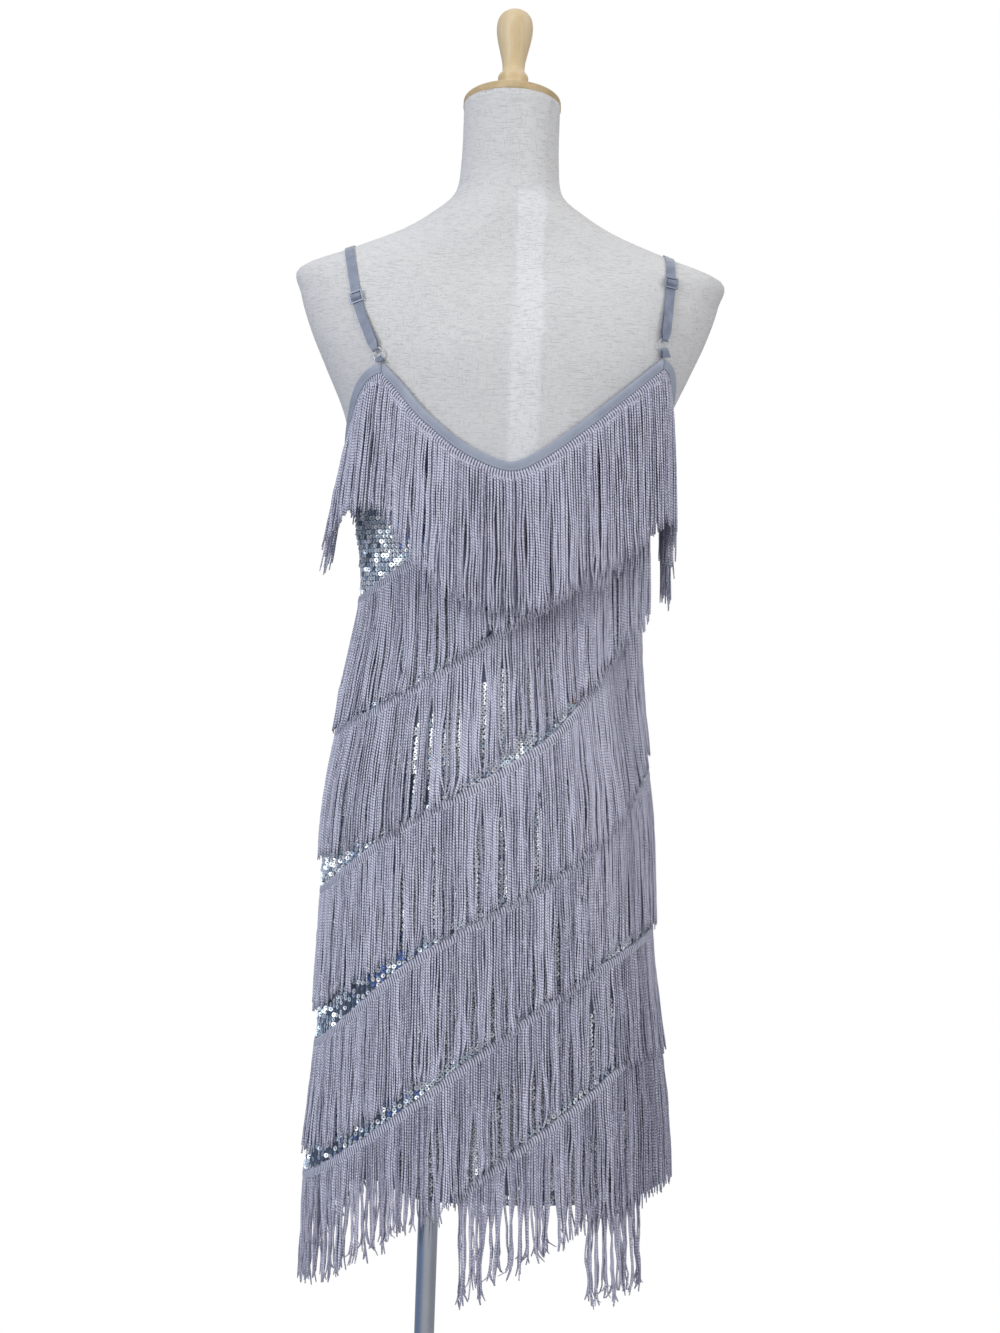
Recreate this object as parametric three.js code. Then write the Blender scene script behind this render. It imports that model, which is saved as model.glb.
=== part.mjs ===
// A flapper dress on a limbless dress form. The dress is a straight sequinned shift with a V neck,
// thin adjustable straps and slanting tiers of fringe. The form is a covered torso with a wooden cap,
// carried off its centre line by a round pole on a round plate.
//
// Millimetres, +Z up. The origin is on the floor under the dress's centre line. -Y is the dress's
// back, +Y its front, +X the wearer's right. An angle is measured round the body from the centre
// back, positive towards +X, so the side seams are at -90 and +90 degrees.

import * as THREE from 'three';

// ---------------------------------------------------------------- driving dimensions

const SEAM_GAP = 0.3;
const CLOTH = 1.4;
const SEAM_ANGLE = 90;
const HEM_HEIGHT = 472;

// Level sections of the covered torso. square is the exponent of its rounded outline, 2 for an ellipse.
const TORSO = [
  { z: 636, centre: -5, halfWidth: 145, back: 106, front: 98, square: 2.3 },
  { z: 700, centre: -5, halfWidth: 149, back: 112, front: 101, square: 2.3 },
  { z: 778, centre: -5, halfWidth: 149, back: 113, front: 101, square: 2.25 },
  { z: 832, centre: -5, halfWidth: 145, back: 109, front: 99, square: 2.2 },
  { z: 900, centre: -5, halfWidth: 135, back: 97, front: 95, square: 2.15 },
  { z: 960, centre: -4, halfWidth: 126, back: 86, front: 91, square: 2.1 },
  { z: 1015, centre: -3, halfWidth: 122, back: 80, front: 87, square: 2.1 },
  { z: 1060, centre: -3, halfWidth: 126, back: 84, front: 93, square: 2.1 },
  { z: 1110, centre: -3, halfWidth: 136, back: 93, front: 112, square: 2.15 },
  { z: 1150, centre: -3, halfWidth: 144, back: 99, front: 118, square: 2.2 },
  { z: 1190, centre: -3, halfWidth: 153, back: 102, front: 108, square: 2.25 },
  { z: 1236, centre: -3, halfWidth: 173, back: 101, front: 92, square: 2.3 },
  { z: 1268, centre: -3, halfWidth: 187, back: 94, front: 80, square: 2.3 },
  { z: 1302, centre: -3, halfWidth: 198, back: 81, front: 67, square: 2.3 },
  { z: 1327, centre: -3, halfWidth: 200, back: 68, front: 57, square: 2.3 },
  { z: 1347, centre: -4, halfWidth: 150, back: 62, front: 51, square: 2.2 },
  { z: 1366, centre: -5, halfWidth: 103, back: 58, front: 48, square: 2.1 },
  { z: 1384, centre: -6, halfWidth: 73, back: 54, front: 47, square: 2.05 },
  { z: 1402, centre: -7, halfWidth: 52, back: 47, front: 47, square: 2 },
  { z: 1430, centre: -7, halfWidth: 46.5, back: 40, front: 49, square: 2 },
  { z: 1486, centre: -7, halfWidth: 45.5, back: 37, front: 54, square: 2 },
];
const TORSO_SIDES = 48;
const NECK_ROOT = 1404;
const NECK_TILT = THREE.MathUtils.degToRad(13.5);

// Level sections of the dress, at the cloth's outer face.
const DRESS = [
  { z: 472, centre: 0, halfWidth: 174, back: 119, front: 114, square: 2.25 },
  { z: 550, centre: 1, halfWidth: 169, back: 119, front: 112, square: 2.25 },
  { z: 635, centre: -2, halfWidth: 161, back: 119, front: 109, square: 2.3 },
  { z: 703, centre: -5, halfWidth: 157, back: 119, front: 107, square: 2.3 },
  { z: 778, centre: -7, halfWidth: 156.5, back: 119, front: 107, square: 2.25 },
  { z: 832, centre: -7, halfWidth: 154, back: 117, front: 106, square: 2.2 },
  { z: 890, centre: -7, halfWidth: 146, back: 107, front: 102, square: 2.15 },
  { z: 929, centre: -6.5, halfWidth: 140, back: 99, front: 99, square: 2.15 },
  { z: 974, centre: -4, halfWidth: 134.5, back: 92, front: 97, square: 2.1 },
  { z: 1015, centre: -2, halfWidth: 131.5, back: 88, front: 95, square: 2.1 },
  { z: 1060, centre: -2, halfWidth: 134, back: 91, front: 100, square: 2.1 },
  { z: 1110, centre: -3, halfWidth: 142, back: 99, front: 118, square: 2.15 },
  { z: 1150, centre: -3, halfWidth: 149.5, back: 104.5, front: 123.5, square: 2.2 },
  { z: 1190, centre: -3, halfWidth: 158.5, back: 107.5, front: 113.5, square: 2.25 },
  { z: 1236, centre: -3, halfWidth: 178.5, back: 106.5, front: 97.5, square: 2.3 },
  { z: 1268, centre: -3, halfWidth: 192.5, back: 99.5, front: 85.5, square: 2.3 },
];

// The V neck, the same back and front, and the armholes.
const NECK = { low: 1140, centre: 3, slope: 0.917, rounding: 32 };
const STRAP_POINT = { left: -52.5, right: 63 };
const UNDERARM_HEIGHT = 1145;

const PANEL_STEP = 8.4;
const ARMHOLE_STEP = 5.6;
const PANEL_ROWS = 16;
const PANEL_TOP_ROW = 11;

const BINDING = { wall: 1, width: 8, inside: 5.5, gap: 1.1 };

// Fringe tiers. The heights are those of the taped top edge where the body is crossed at its left
// side (-1), half way out on the left, its middle (0), half way out on the right and its right
// side (+1). A drop is the strands' length, from and to are angles on the back, and the front is
// its mirror image through the side seams, with its middle higher by frontRise.
const TIERS = [
  { name: 'b', left: 1003, leftMid: 1059, middle: 1108, rightMid: 1150, right: 1180, dropLeft: 105,
    dropRight: 122, from: -90, to: 60, front: true, frontRise: 0, rows: 4 },
  { name: 'c', left: 894, leftMid: 938, middle: 990, rightMid: 1042, right: 1170, dropLeft: 122,
    dropRight: 126, from: -90, to: 70, front: true, frontRise: 15, rows: 3 },
  { name: 'd', left: 747, leftMid: 817, middle: 858, rightMid: 925, right: 1030, dropLeft: 122,
    dropRight: 150, from: -90, to: 90, front: true, frontRise: 30, rows: 3 },
  { name: 'e', left: 597, leftMid: 682, middle: 733, rightMid: 788, right: 872, dropLeft: 107,
    dropRight: 150, from: -90, to: 90, front: true, frontRise: 45, rows: 3 },
  { name: 'f', left: 478, leftMid: 545, middle: 614, rightMid: 673, right: 710, dropLeft: 112,
    dropRight: 104, from: -90, to: 90, front: true, frontRise: 60, rows: 3 },
  { name: 'g', left: 359, leftMid: 431, middle: 502, rightMid: 563, right: 622, dropLeft: 98,
    dropRight: 134, from: -12, to: 90, front: true, frontRise: 60, rows: 3 },
  { name: 'h', left: 440, leftMid: 450, middle: 460, rightMid: 476, right: 494, dropLeft: 98,
    dropRight: 98, from: 43, to: 61.5, front: false, rows: 2 },
];
const NECK_TIER = { name: 'a', below: 9.5, dropLeft: 118, dropRight: 128, flareLeft: 0.09,
  flareRight: 0.04, from: -90, to: 90, front: true, rows: 5 };
const FRINGE = { innerTop: 1.05, outerTop: 2.3, flare: 0.01 };
const FRINGE_END = { inner: 4.2, outer: 6.2, bend: 1 };
const NECK_FRINGE_END = { inner: 7.2, outer: 9.4, bend: 0.5 };

// Straps and their fittings. x is the strap's distance from the centre line, per side.
const STRAP = { width: 9, widthInRing: 5.8, wall: 0.9, clear: 0.8 };
const STRAP_CENTRE_HEIGHT = 1236;
const STRAPS = [
  { side: 'left', ringHeight: 1238, ringX: -120, sliderHeight: 1291, sliderX: -143, topX: -154 },
  { side: 'right', ringHeight: 1257, ringX: 138, sliderHeight: 1315, sliderX: 145, topX: 144 },
];
const RING = { radius: 5.6, wire: 0.7 };
const SLIDER = { width: 13.4, height: 11.6, bar: 1.5, wall: 1, corner: 1.4 };

// Wooden cap and its turned knob, tilted with the neck.
const CAP = { radius: 46.5, thickness: 8, x: -7, y: 8.5, bevel: 1.2 };
const CAP_SEAT = 1486.5;
const KNOB_PROFILE = [
  { height: 0, radius: 0 },
  { height: 0, radius: 23 },
  { height: 4, radius: 23 },
  { height: 6.5, radius: 20.5 },
  { height: 10, radius: 15 },
  { height: 16, radius: 12.2 },
  { height: 20, radius: 13.2 },
  { height: 22.5, radius: 14.4 },
  { height: 26, radius: 14.4 },
  { height: 28.5, radius: 12.2 },
  { height: 34, radius: 10.6 },
  { height: 42, radius: 11.3 },
  { height: 54, radius: 13.8 },
  { height: 66, radius: 16.4 },
  { height: 76, radius: 17.5 },
  { height: 82, radius: 17.2 },
  { height: 88, radius: 15 },
  { height: 93, radius: 10.2 },
  { height: 95.4, radius: 4.8 },
  { height: 96, radius: 0 },
];

// Stand.
const POLE = { x: -50, radius: 9.5 };
const PLATE = { radius: 180, thickness: 8, bevel: 2 };
const COLLAR = { outer: 22, height: 30, bevel: 1.5 };
const SOCKET = { flange: 38, flangeThickness: 6, outer: 16, length: 42, bevel: 1.2 };
const POLE_CLEARANCE = 0.3;
const ROUND_SIDES = 48;

// ---------------------------------------------------------------- colours

function finish(colour, roughness, metalness = 0) {
  return new THREE.MeshStandardMaterial({ color: colour, roughness, metalness });
}

const SEQUINS = finish(0xb9c4d4, 0.3, 0.5);
const FRINGE_YARN = finish(0x9692a6, 0.6);
const BINDING_SATIN = finish(0x96a0b2, 0.45);
const CLEAR_PLASTIC = finish(0xdfe4e8, 0.15);
const STRAP_METAL = finish(0xa9b0bb, 0.3, 0.8);
const LINEN = finish(0xcdd0d5, 0.85);
const PALE_WOOD = finish(0xd7be96, 0.5);
const CHROME = finish(0xb5bac4, 0.12, 1);

// ---------------------------------------------------------------- helpers

const group = new THREE.Group();

function add(name, geometry, material) {
  const mesh = new THREE.Mesh(geometry, material);
  mesh.name = name;
  group.add(mesh);
  return mesh;
}

// A smooth curve through one column of a table whose rows rise in `key`.
function sample(rows, column, at, key = 'z') {
  const last = rows.length - 1;
  if (at <= rows[0][key]) return rows[0][column];
  if (at >= rows[last][key]) return rows[last][column];
  const i = rows.findIndex((row) => row[key] > at) - 1;
  const slope = (k) => {
    const before = rows[Math.max(k - 1, 0)];
    const after = rows[Math.min(k + 1, last)];
    return (after[column] - before[column]) / (after[key] - before[key]);
  };
  const span = rows[i + 1][key] - rows[i][key];
  const u = (at - rows[i][key]) / span;
  const ease = u * u * (3 - 2 * u);
  const start = rows[i][column] * (1 - ease) + rows[i + 1][column] * ease;
  return start + span * (slope(i) * u * (1 - u) ** 2 - slope(i + 1) * u * u * (1 - u));
}

function sectionAt(rows, z) {
  const section = {};
  for (const column of ['centre', 'halfWidth', 'back', 'front', 'square']) {
    section[column] = sample(rows, column, z);
  }
  return section;
}

// The point of a body's outline at an angle, on the level z.
function outlinePoint(rows, degrees, z) {
  const section = sectionAt(rows, z);
  const angle = THREE.MathUtils.degToRad(degrees);
  const across = Math.sin(angle);
  const along = -Math.cos(angle);
  const depth = along < 0 ? section.back : section.front;
  const n = section.square;
  const sum = (Math.abs(across) / section.halfWidth) ** n + (Math.abs(along) / depth) ** n;
  const radius = sum ** (-1 / n);
  return new THREE.Vector3(section.centre + radius * across, radius * along, z);
}

// The body's outward normal there.
function outlineNormal(rows, degrees, z) {
  const turn = 0.5;
  const rise = 1;
  const round = outlinePoint(rows, degrees + turn, z).sub(outlinePoint(rows, degrees - turn, z));
  const up = outlinePoint(rows, degrees, z + rise).sub(outlinePoint(rows, degrees, z - rise));
  return round.cross(up).normalize();
}

function levelNormal(rows, degrees, z) {
  const normal = outlineNormal(rows, degrees, z);
  return normal.setZ(0).normalize();
}

// Builds a mesh from points and triangles, with its faces turned outwards.
function closedGeometry(points, triangles) {
  let volume = 0;
  for (const [a, b, c] of triangles) {
    volume += points[a].dot(new THREE.Vector3().crossVectors(points[b], points[c]));
  }
  const index = triangles.flatMap(([a, b, c]) => (volume < 0 ? [a, c, b] : [a, b, c]));
  const geometry = new THREE.BufferGeometry();
  geometry.setFromPoints(points);
  geometry.setIndex(index);
  geometry.computeVertexNormals();
  return geometry;
}

// A wall over a grid: place(i, j, side) gives the point on its inner (0) or outer (1) face.
function wall(columns, rows, place) {
  const points = [];
  const triangles = [];
  for (const side of [0, 1]) {
    for (let j = 0; j <= rows; j += 1) {
      for (let i = 0; i <= columns; i += 1) points.push(place(i, j, side));
    }
  }
  const id = (i, j, side) => (side * (rows + 1) + j) * (columns + 1) + i;
  const quad = (a, b, c, d) => triangles.push([a, b, c], [a, c, d]);
  for (let j = 0; j < rows; j += 1) {
    for (let i = 0; i < columns; i += 1) {
      quad(id(i, j, 1), id(i + 1, j, 1), id(i + 1, j + 1, 1), id(i, j + 1, 1));
      quad(id(i, j, 0), id(i, j + 1, 0), id(i + 1, j + 1, 0), id(i + 1, j, 0));
    }
    quad(id(0, j, 0), id(0, j, 1), id(0, j + 1, 1), id(0, j + 1, 0));
    quad(id(columns, j, 0), id(columns, j + 1, 0), id(columns, j + 1, 1), id(columns, j, 1));
  }
  for (let i = 0; i < columns; i += 1) {
    quad(id(i, 0, 0), id(i + 1, 0, 0), id(i + 1, 0, 1), id(i, 0, 1));
    quad(id(i, rows, 0), id(i, rows, 1), id(i + 1, rows, 1), id(i + 1, rows, 0));
  }
  return closedGeometry(points, triangles);
}

// A solid through closed rings of points, with flat ends.
function loft(rings) {
  const sides = rings[0].length;
  const points = rings.flat();
  const triangles = [];
  for (let ring = 0; ring + 1 < rings.length; ring += 1) {
    for (let side = 0; side < sides; side += 1) {
      const next = (side + 1) % sides;
      const low = ring * sides;
      const high = low + sides;
      triangles.push([low + side, low + next, high + next], [low + side, high + next, high + side]);
    }
  }
  for (const [ring, flip] of [[0, true], [rings.length - 1, false]]) {
    const middle = new THREE.Vector3();
    for (const point of rings[ring]) middle.addScaledVector(point, 1 / sides);
    const hub = points.push(middle) - 1;
    for (let side = 0; side < sides; side += 1) {
      const a = ring * sides + side;
      const b = ring * sides + ((side + 1) % sides);
      triangles.push(flip ? [hub, b, a] : [hub, a, b]);
    }
  }
  return closedGeometry(points, triangles);
}

// A flat strip of cloth along a path. A stop holds a point, the strip's sideways direction there
// and its width.
function ribbon(stops, thickness) {
  const rings = stops.map((stop, i) => {
    const before = stops[Math.max(i - 1, 0)].point;
    const after = stops[Math.min(i + 1, stops.length - 1)].point;
    const tangent = after.clone().sub(before).normalize();
    const face = new THREE.Vector3().crossVectors(tangent, stop.sideways).normalize();
    let mitre = 1;
    if (i > 0 && i + 1 < stops.length) {
      const leg = stop.point.clone().sub(before).normalize();
      mitre = 1 / Math.max(leg.dot(tangent), 0.7);
    }
    const corner = (across, out) => stop.point.clone()
      .addScaledVector(stop.sideways, (across * stop.width) / 2)
      .addScaledVector(face, (out * thickness * mitre) / 2);
    return [corner(-1, -1), corner(1, -1), corner(1, 1), corner(-1, 1)];
  });
  return loft(rings);
}

function turned(profile, sides = ROUND_SIDES) {
  const outline = profile.map((stop) => new THREE.Vector2(stop.radius, stop.height));
  const geometry = new THREE.LatheGeometry(outline, sides);
  return geometry.rotateX(Math.PI / 2);
}

function bevelledDisc(radius, thickness, bevel) {
  return [
    { height: 0, radius: 0 },
    { height: 0, radius: radius - bevel },
    { height: bevel, radius },
    { height: thickness - bevel, radius },
    { height: thickness, radius: radius - bevel },
    { height: thickness, radius: 0 },
  ];
}

// ---------------------------------------------------------------- the dress's edges

// Angles of the panel's columns on the back: even steps, closer beyond the strap points, where the
// armholes fall away.
function backColumns() {
  const edge = SEAM_ANGLE - THREE.MathUtils.radToDeg(SEAM_GAP / 2 / DRESS[0].halfWidth);
  const marks = [-edge, STRAP_POINT.left, STRAP_POINT.right, edge];
  const columns = [marks[0]];
  for (let i = 1; i < marks.length; i += 1) {
    const step = marks[i - 1] === STRAP_POINT.left ? PANEL_STEP : ARMHOLE_STEP;
    const steps = Math.round((marks[i] - marks[i - 1]) / step);
    for (let k = 1; k <= steps; k += 1) {
      columns.push(marks[i - 1] + ((marks[i] - marks[i - 1]) * k) / steps);
    }
  }
  return columns;
}

function neckHeight(x) {
  const across = Math.abs(x - NECK.centre);
  return NECK.low + (NECK.slope * across * across) / (across + NECK.rounding);
}

// The angle on the back that mirrors an angle on the front through the side seam.
function backAngle(degrees) {
  if (degrees > SEAM_ANGLE) return 180 - degrees;
  if (degrees < -SEAM_ANGLE) return -180 - degrees;
  return degrees;
}

// The angle of a strap point on the same half, back or front, as the angle given.
function strapPointNear(degrees) {
  const angle = backAngle(degrees);
  const corner = angle < 0 ? STRAP_POINT.left : STRAP_POINT.right;
  if (degrees > SEAM_ANGLE) return 180 - corner;
  if (degrees < -SEAM_ANGLE) return -180 - corner;
  return corner;
}

function neckEdge(degrees) {
  let z = NECK.low;
  for (let pass = 0; pass < 12; pass += 1) z = neckHeight(outlinePoint(DRESS, degrees, z).x);
  return z;
}

// Height of the dress's top edge round the body.
function topEdge(degrees) {
  const angle = backAngle(degrees);
  if (angle >= STRAP_POINT.left && angle <= STRAP_POINT.right) return neckEdge(degrees);
  const corner = strapPointNear(degrees);
  const reach = SEAM_ANGLE - Math.abs(backAngle(corner));
  const up = THREE.MathUtils.smoothstep(SEAM_ANGLE - Math.abs(angle), 0, reach);
  return UNDERARM_HEIGHT + (neckEdge(corner) - UNDERARM_HEIGHT) * up;
}

function edgePoint(degrees) {
  return outlinePoint(DRESS, degrees, topEdge(degrees));
}

// ---------------------------------------------------------------- panels and bindings

// How much longer a strip along the top edge is upright than across, where the edge is steep.
function steepness(degrees) {
  const turn = 0.2;
  const along = edgePoint(degrees + turn).sub(edgePoint(degrees - turn));
  return along.length() / Math.hypot(along.x, along.y);
}

// The panels' rows are evenly spaced from the hem, with a narrow one under the top edge.
function panelLevel(degrees, j) {
  const top = topEdge(degrees);
  if (j === PANEL_ROWS) return top;
  const edgeRow = top - PANEL_TOP_ROW * steepness(degrees);
  return THREE.MathUtils.lerp(HEM_HEIGHT, edgeRow, j / (PANEL_ROWS - 1));
}

// The point of the faceted cloth's outer face at an angle and a height.
function clothPoint(degrees, z) {
  let j = 0;
  while (j + 2 <= PANEL_ROWS && panelLevel(degrees, j + 1) < z) j += 1;
  const low = panelLevel(degrees, j);
  const high = panelLevel(degrees, j + 1);
  if (z <= low) return outlinePoint(DRESS, degrees, z);
  const start = outlinePoint(DRESS, degrees, low);
  return start.lerp(outlinePoint(DRESS, degrees, high), (z - low) / (high - low));
}

function panel(columns) {
  return wall(columns.length - 1, PANEL_ROWS, (i, j, side) => {
    const z = panelLevel(columns[i], j);
    const point = outlinePoint(DRESS, columns[i], z);
    if (side === 0) point.addScaledVector(levelNormal(DRESS, columns[i], z), -CLOTH);
    return point;
  });
}

const BACK_COLUMNS = backColumns();
const FRONT_COLUMNS = BACK_COLUMNS.map((angle) => 180 - angle).reverse();
add('back_panel', panel(BACK_COLUMNS), SEQUINS);
add('front_panel', panel(FRONT_COLUMNS), SEQUINS);

// A folded binding over the top edge: an outer leg, the fold and an inner leg. It ends upright, so
// that two bindings meet in a mitre at a strap point.
const BINDING_SKIN = BINDING.gap + BINDING.wall;

function bindingFace(out) {
  return [
    { out, down: BINDING.width },
    { out, down: -out },
    { out: -CLOTH - out, down: -out },
    { out: -CLOTH - out, down: BINDING.inside },
  ];
}

function binding(columns) {
  const faces = [bindingFace(BINDING.gap), bindingFace(BINDING_SKIN)];
  return wall(columns.length - 1, faces[0].length - 1, (i, j, side) => {
    const stop = faces[side][j];
    const z = topEdge(columns[i]) - stop.down * steepness(columns[i]);
    return clothPoint(columns[i], z).addScaledVector(levelNormal(DRESS, columns[i], z), stop.out);
  });
}

// The columns of a panel between two angles, with the two ends put in.
function between(columns, from, to) {
  const near = ARMHOLE_STEP / 3;
  const inside = columns.filter((angle) => angle > from + near && angle < to - near);
  return [from, ...inside, to];
}

const MITRE_CLEAR = 0.25;
const FRONT_POINT = { left: 180 - STRAP_POINT.left, right: 180 - STRAP_POINT.right };
const aroundSide = (sign) => {
  const back = BACK_COLUMNS.slice(1, -1).map((angle) => sign * angle);
  const front = back.map((angle) => 180 - angle);
  return [...back, SEAM_ANGLE, ...front].sort((a, b) => a - b).map((angle) => sign * angle);
};
const BINDINGS = [
  { name: 'back_neck_binding', columns: BACK_COLUMNS, from: STRAP_POINT.left, to: STRAP_POINT.right },
  { name: 'front_neck_binding', columns: FRONT_COLUMNS, from: FRONT_POINT.right, to: FRONT_POINT.left },
  { name: 'left_armhole_binding', columns: aroundSide(-1).reverse(), from: FRONT_POINT.left - 360,
    to: STRAP_POINT.left },
  { name: 'right_armhole_binding', columns: aroundSide(1), from: STRAP_POINT.right,
    to: FRONT_POINT.right },
];
for (const edge of BINDINGS) {
  const columns = between(edge.columns, edge.from + MITRE_CLEAR, edge.to - MITRE_CLEAR);
  add(edge.name, binding(columns), BINDING_SATIN);
}

// ---------------------------------------------------------------- fringe tiers

const STATIONS = [
  { place: -1, column: 'left' },
  { place: -0.5, column: 'leftMid' },
  { place: 0, column: 'middle' },
  { place: 0.5, column: 'rightMid' },
  { place: 1, column: 'right' },
];

// How far out across the body an angle lies: -1 at its left side, +1 at its right.
function placeAcross(degrees, z) {
  const section = sectionAt(DRESS, z);
  return (outlinePoint(DRESS, degrees, z).x - section.centre) / section.halfWidth;
}

function tierTop(tier, degrees) {
  const line = STATIONS.map((station) => ({ place: station.place, z: tier[station.column] }));
  let z = tier.middle;
  for (let pass = 0; pass < 12; pass += 1) z = sample(line, 'z', placeAcross(degrees, z), 'place');
  const onFront = backAngle(degrees) !== degrees;
  return onFront ? z + tier.frontRise * (1 - placeAcross(degrees, z) ** 2) : z;
}

// The neck tier's tape follows the edge, a little below the binding.
function neckTierTop(tier, degrees) {
  return topEdge(degrees) - tier.below * steepness(degrees);
}

// The solid reach of a fringe. Its strands hang plumb from the tape where the body below draws in,
// and lie over the body where it swells.
function fringe(tier, angles, topOf, end) {
  return wall(angles.length - 1, tier.rows, (i, j, side) => {
    const degrees = angles[i];
    const top = topOf(tier, degrees);
    const across = (placeAcross(degrees, top) + 1) / 2;
    const drop = THREE.MathUtils.lerp(tier.dropLeft, tier.dropRight, across);
    const flare = THREE.MathUtils.lerp(tier.flareLeft ?? FRINGE.flare, tier.flareRight ?? FRINGE.flare, across);
    const share = j / tier.rows;
    const fall = drop * share;
    const first = side === 0 ? FRINGE.innerTop : FRINGE.outerTop;
    const lastOut = side === 0 ? end.inner : end.outer;
    const out = THREE.MathUtils.lerp(first, lastOut, share ** end.bend);
    const head = clothPoint(degrees, top);
    const below = clothPoint(degrees, top - fall);
    const normal = levelNormal(DRESS, degrees, top - fall);
    const plumb = head.sub(below).dot(normal) + flare * fall;
    return below.addScaledVector(normal, Math.max(plumb, 0) + out);
  });
}

function addTier(tier, topOf, end) {
  const edge = BACK_COLUMNS[BACK_COLUMNS.length - 1];
  const angles = between(BACK_COLUMNS, Math.max(tier.from, -edge), Math.min(tier.to, edge));
  add(`fringe_${tier.name}_back`, fringe(tier, angles, topOf, end), FRINGE_YARN);
  if (!tier.front) return;
  const mirrored = angles.map((angle) => 180 - angle).reverse();
  add(`fringe_${tier.name}_front`, fringe(tier, mirrored, topOf, end), FRINGE_YARN);
}

addTier(NECK_TIER, neckTierTop, NECK_FRINGE_END);
for (const tier of TIERS) addTier(tier, tierTop, FRINGE_END);

// ---------------------------------------------------------------- straps, rings and sliders

function insideTorso(point) {
  const section = sectionAt(TORSO, point.z);
  const depth = point.y < 0 ? section.back : section.front;
  const n = section.square;
  return (Math.abs(point.x - section.centre) / section.halfWidth) ** n
    + (Math.abs(point.y) / depth) ** n < 1;
}

// The point of the torso's skin met by a ray that starts inside the shoulder at x and points
// backwards at 0 degrees, up at 90 and forwards at 180.
function skinPoint(x, degrees) {
  const angle = THREE.MathUtils.degToRad(degrees);
  const ray = new THREE.Vector3(0, -Math.cos(angle), Math.sin(angle));
  const start = new THREE.Vector3(x, 0, STRAP_CENTRE_HEIGHT);
  let inner = 0;
  let outer = 200;
  for (let pass = 0; pass < 40; pass += 1) {
    const middle = (inner + outer) / 2;
    if (insideTorso(start.clone().addScaledVector(ray, middle))) inner = middle;
    else outer = middle;
  }
  return start.addScaledVector(ray, inner);
}

// The ray's angle at which the skin at x has the height z, behind the shoulder's ridge.
function rayAngle(x, z) {
  let low = -30;
  let high = 89;
  for (let pass = 0; pass < 40; pass += 1) {
    const middle = (low + high) / 2;
    if (skinPoint(x, middle).z < z) low = middle;
    else high = middle;
  }
  return low;
}

// A strap's route over the skin, with distances measured along it from the ring's centre.
function strapRoute(strap) {
  const left = strap.side === 'left';
  const backCorner = edgePoint(left ? STRAP_POINT.left : STRAP_POINT.right);
  const frontCorner = edgePoint(left ? FRONT_POINT.left : FRONT_POINT.right);
  const above = 2 * BINDING_SKIN;
  const ringAngle = rayAngle(strap.ringX, strap.ringHeight);
  const frontRay = (x, z) => {
    const forward = skinPoint(x, 180);
    return 180 - THREE.MathUtils.radToDeg(Math.atan2(z - STRAP_CENTRE_HEIGHT, forward.y));
  };
  const line = [
    { angle: rayAngle(backCorner.x, backCorner.z + above), x: backCorner.x },
    { angle: ringAngle, x: strap.ringX },
    { angle: rayAngle(strap.sliderX, strap.sliderHeight), x: strap.sliderX },
    { angle: 90, x: strap.topX },
    { angle: frontRay(frontCorner.x, frontCorner.z + above), x: frontCorner.x },
  ];
  const from = line[0].angle;
  const to = line[line.length - 1].angle;
  const count = 160;
  const stops = [];
  for (let k = 0; k <= count; k += 1) {
    const angle = from + ((to - from) * k) / count;
    const x = sample(line, 'x', angle, 'angle');
    stops.push({ angle, x, point: skinPoint(x, angle) });
  }
  let along = 0;
  stops.forEach((stop, k) => {
    if (k > 0) along += stop.point.distanceTo(stops[k - 1].point);
    stop.along = along;
  });
  const alongAt = (angle) => sample(stops, 'along', angle, 'angle');
  const zero = alongAt(ringAngle);
  const frameAt = (distance) => {
    const angle = sample(stops, 'angle', distance + zero, 'along');
    const x = sample(stops, 'x', distance + zero, 'along');
    const point = skinPoint(x, angle);
    const turn = 1;
    const ahead = sample(line, 'x', angle + turn, 'angle');
    const behind = sample(line, 'x', angle - turn, 'angle');
    const tangent = skinPoint(ahead, angle + turn).sub(skinPoint(behind, angle - turn)).normalize();
    const sidestep = skinPoint(x + turn, angle).sub(skinPoint(x - turn, angle));
    const normal = new THREE.Vector3().crossVectors(sidestep, tangent).normalize();
    const sideways = new THREE.Vector3().crossVectors(tangent, normal).normalize();
    return { point, tangent, normal, sideways };
  };
  const cornerLift = backCorner.clone()
    .addScaledVector(levelNormal(DRESS, left ? STRAP_POINT.left : STRAP_POINT.right, backCorner.z), -CLOTH / 2)
    .sub(frameAt(-zero).point)
    .dot(frameAt(-zero).normal);
  const slider = alongAt(line[2].angle) - zero;
  return { frameAt, start: -zero, end: along - zero, slider, cornerLift };
}

// Half a turn of cloth through the ring, round the part of its wire that the cloth's edges touch.
function hairpin(lift, towards) {
  const bend = RING.wire + SEAM_GAP + STRAP.wall / 2 + 0.15;
  const bar = -towards * Math.sqrt(RING.radius ** 2 - (STRAP.widthInRing / 2) ** 2);
  const steps = 6;
  return Array.from({ length: steps + 1 }, (_, k) => {
    const angle = (Math.PI * k) / steps;
    return {
      along: bar + towards * bend * Math.sin(angle),
      out: lift - bend * Math.cos(angle),
      width: STRAP.widthInRing,
    };
  });
}

function strapCloth(route, path) {
  const stops = path.map((stop) => {
    const frame = route.frameAt(stop.along);
    const point = frame.point.clone().addScaledVector(frame.normal, stop.out);
    return { point, sideways: frame.sideways, width: stop.width ?? STRAP.width };
  });
  return ribbon(stops, STRAP.wall);
}

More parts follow.
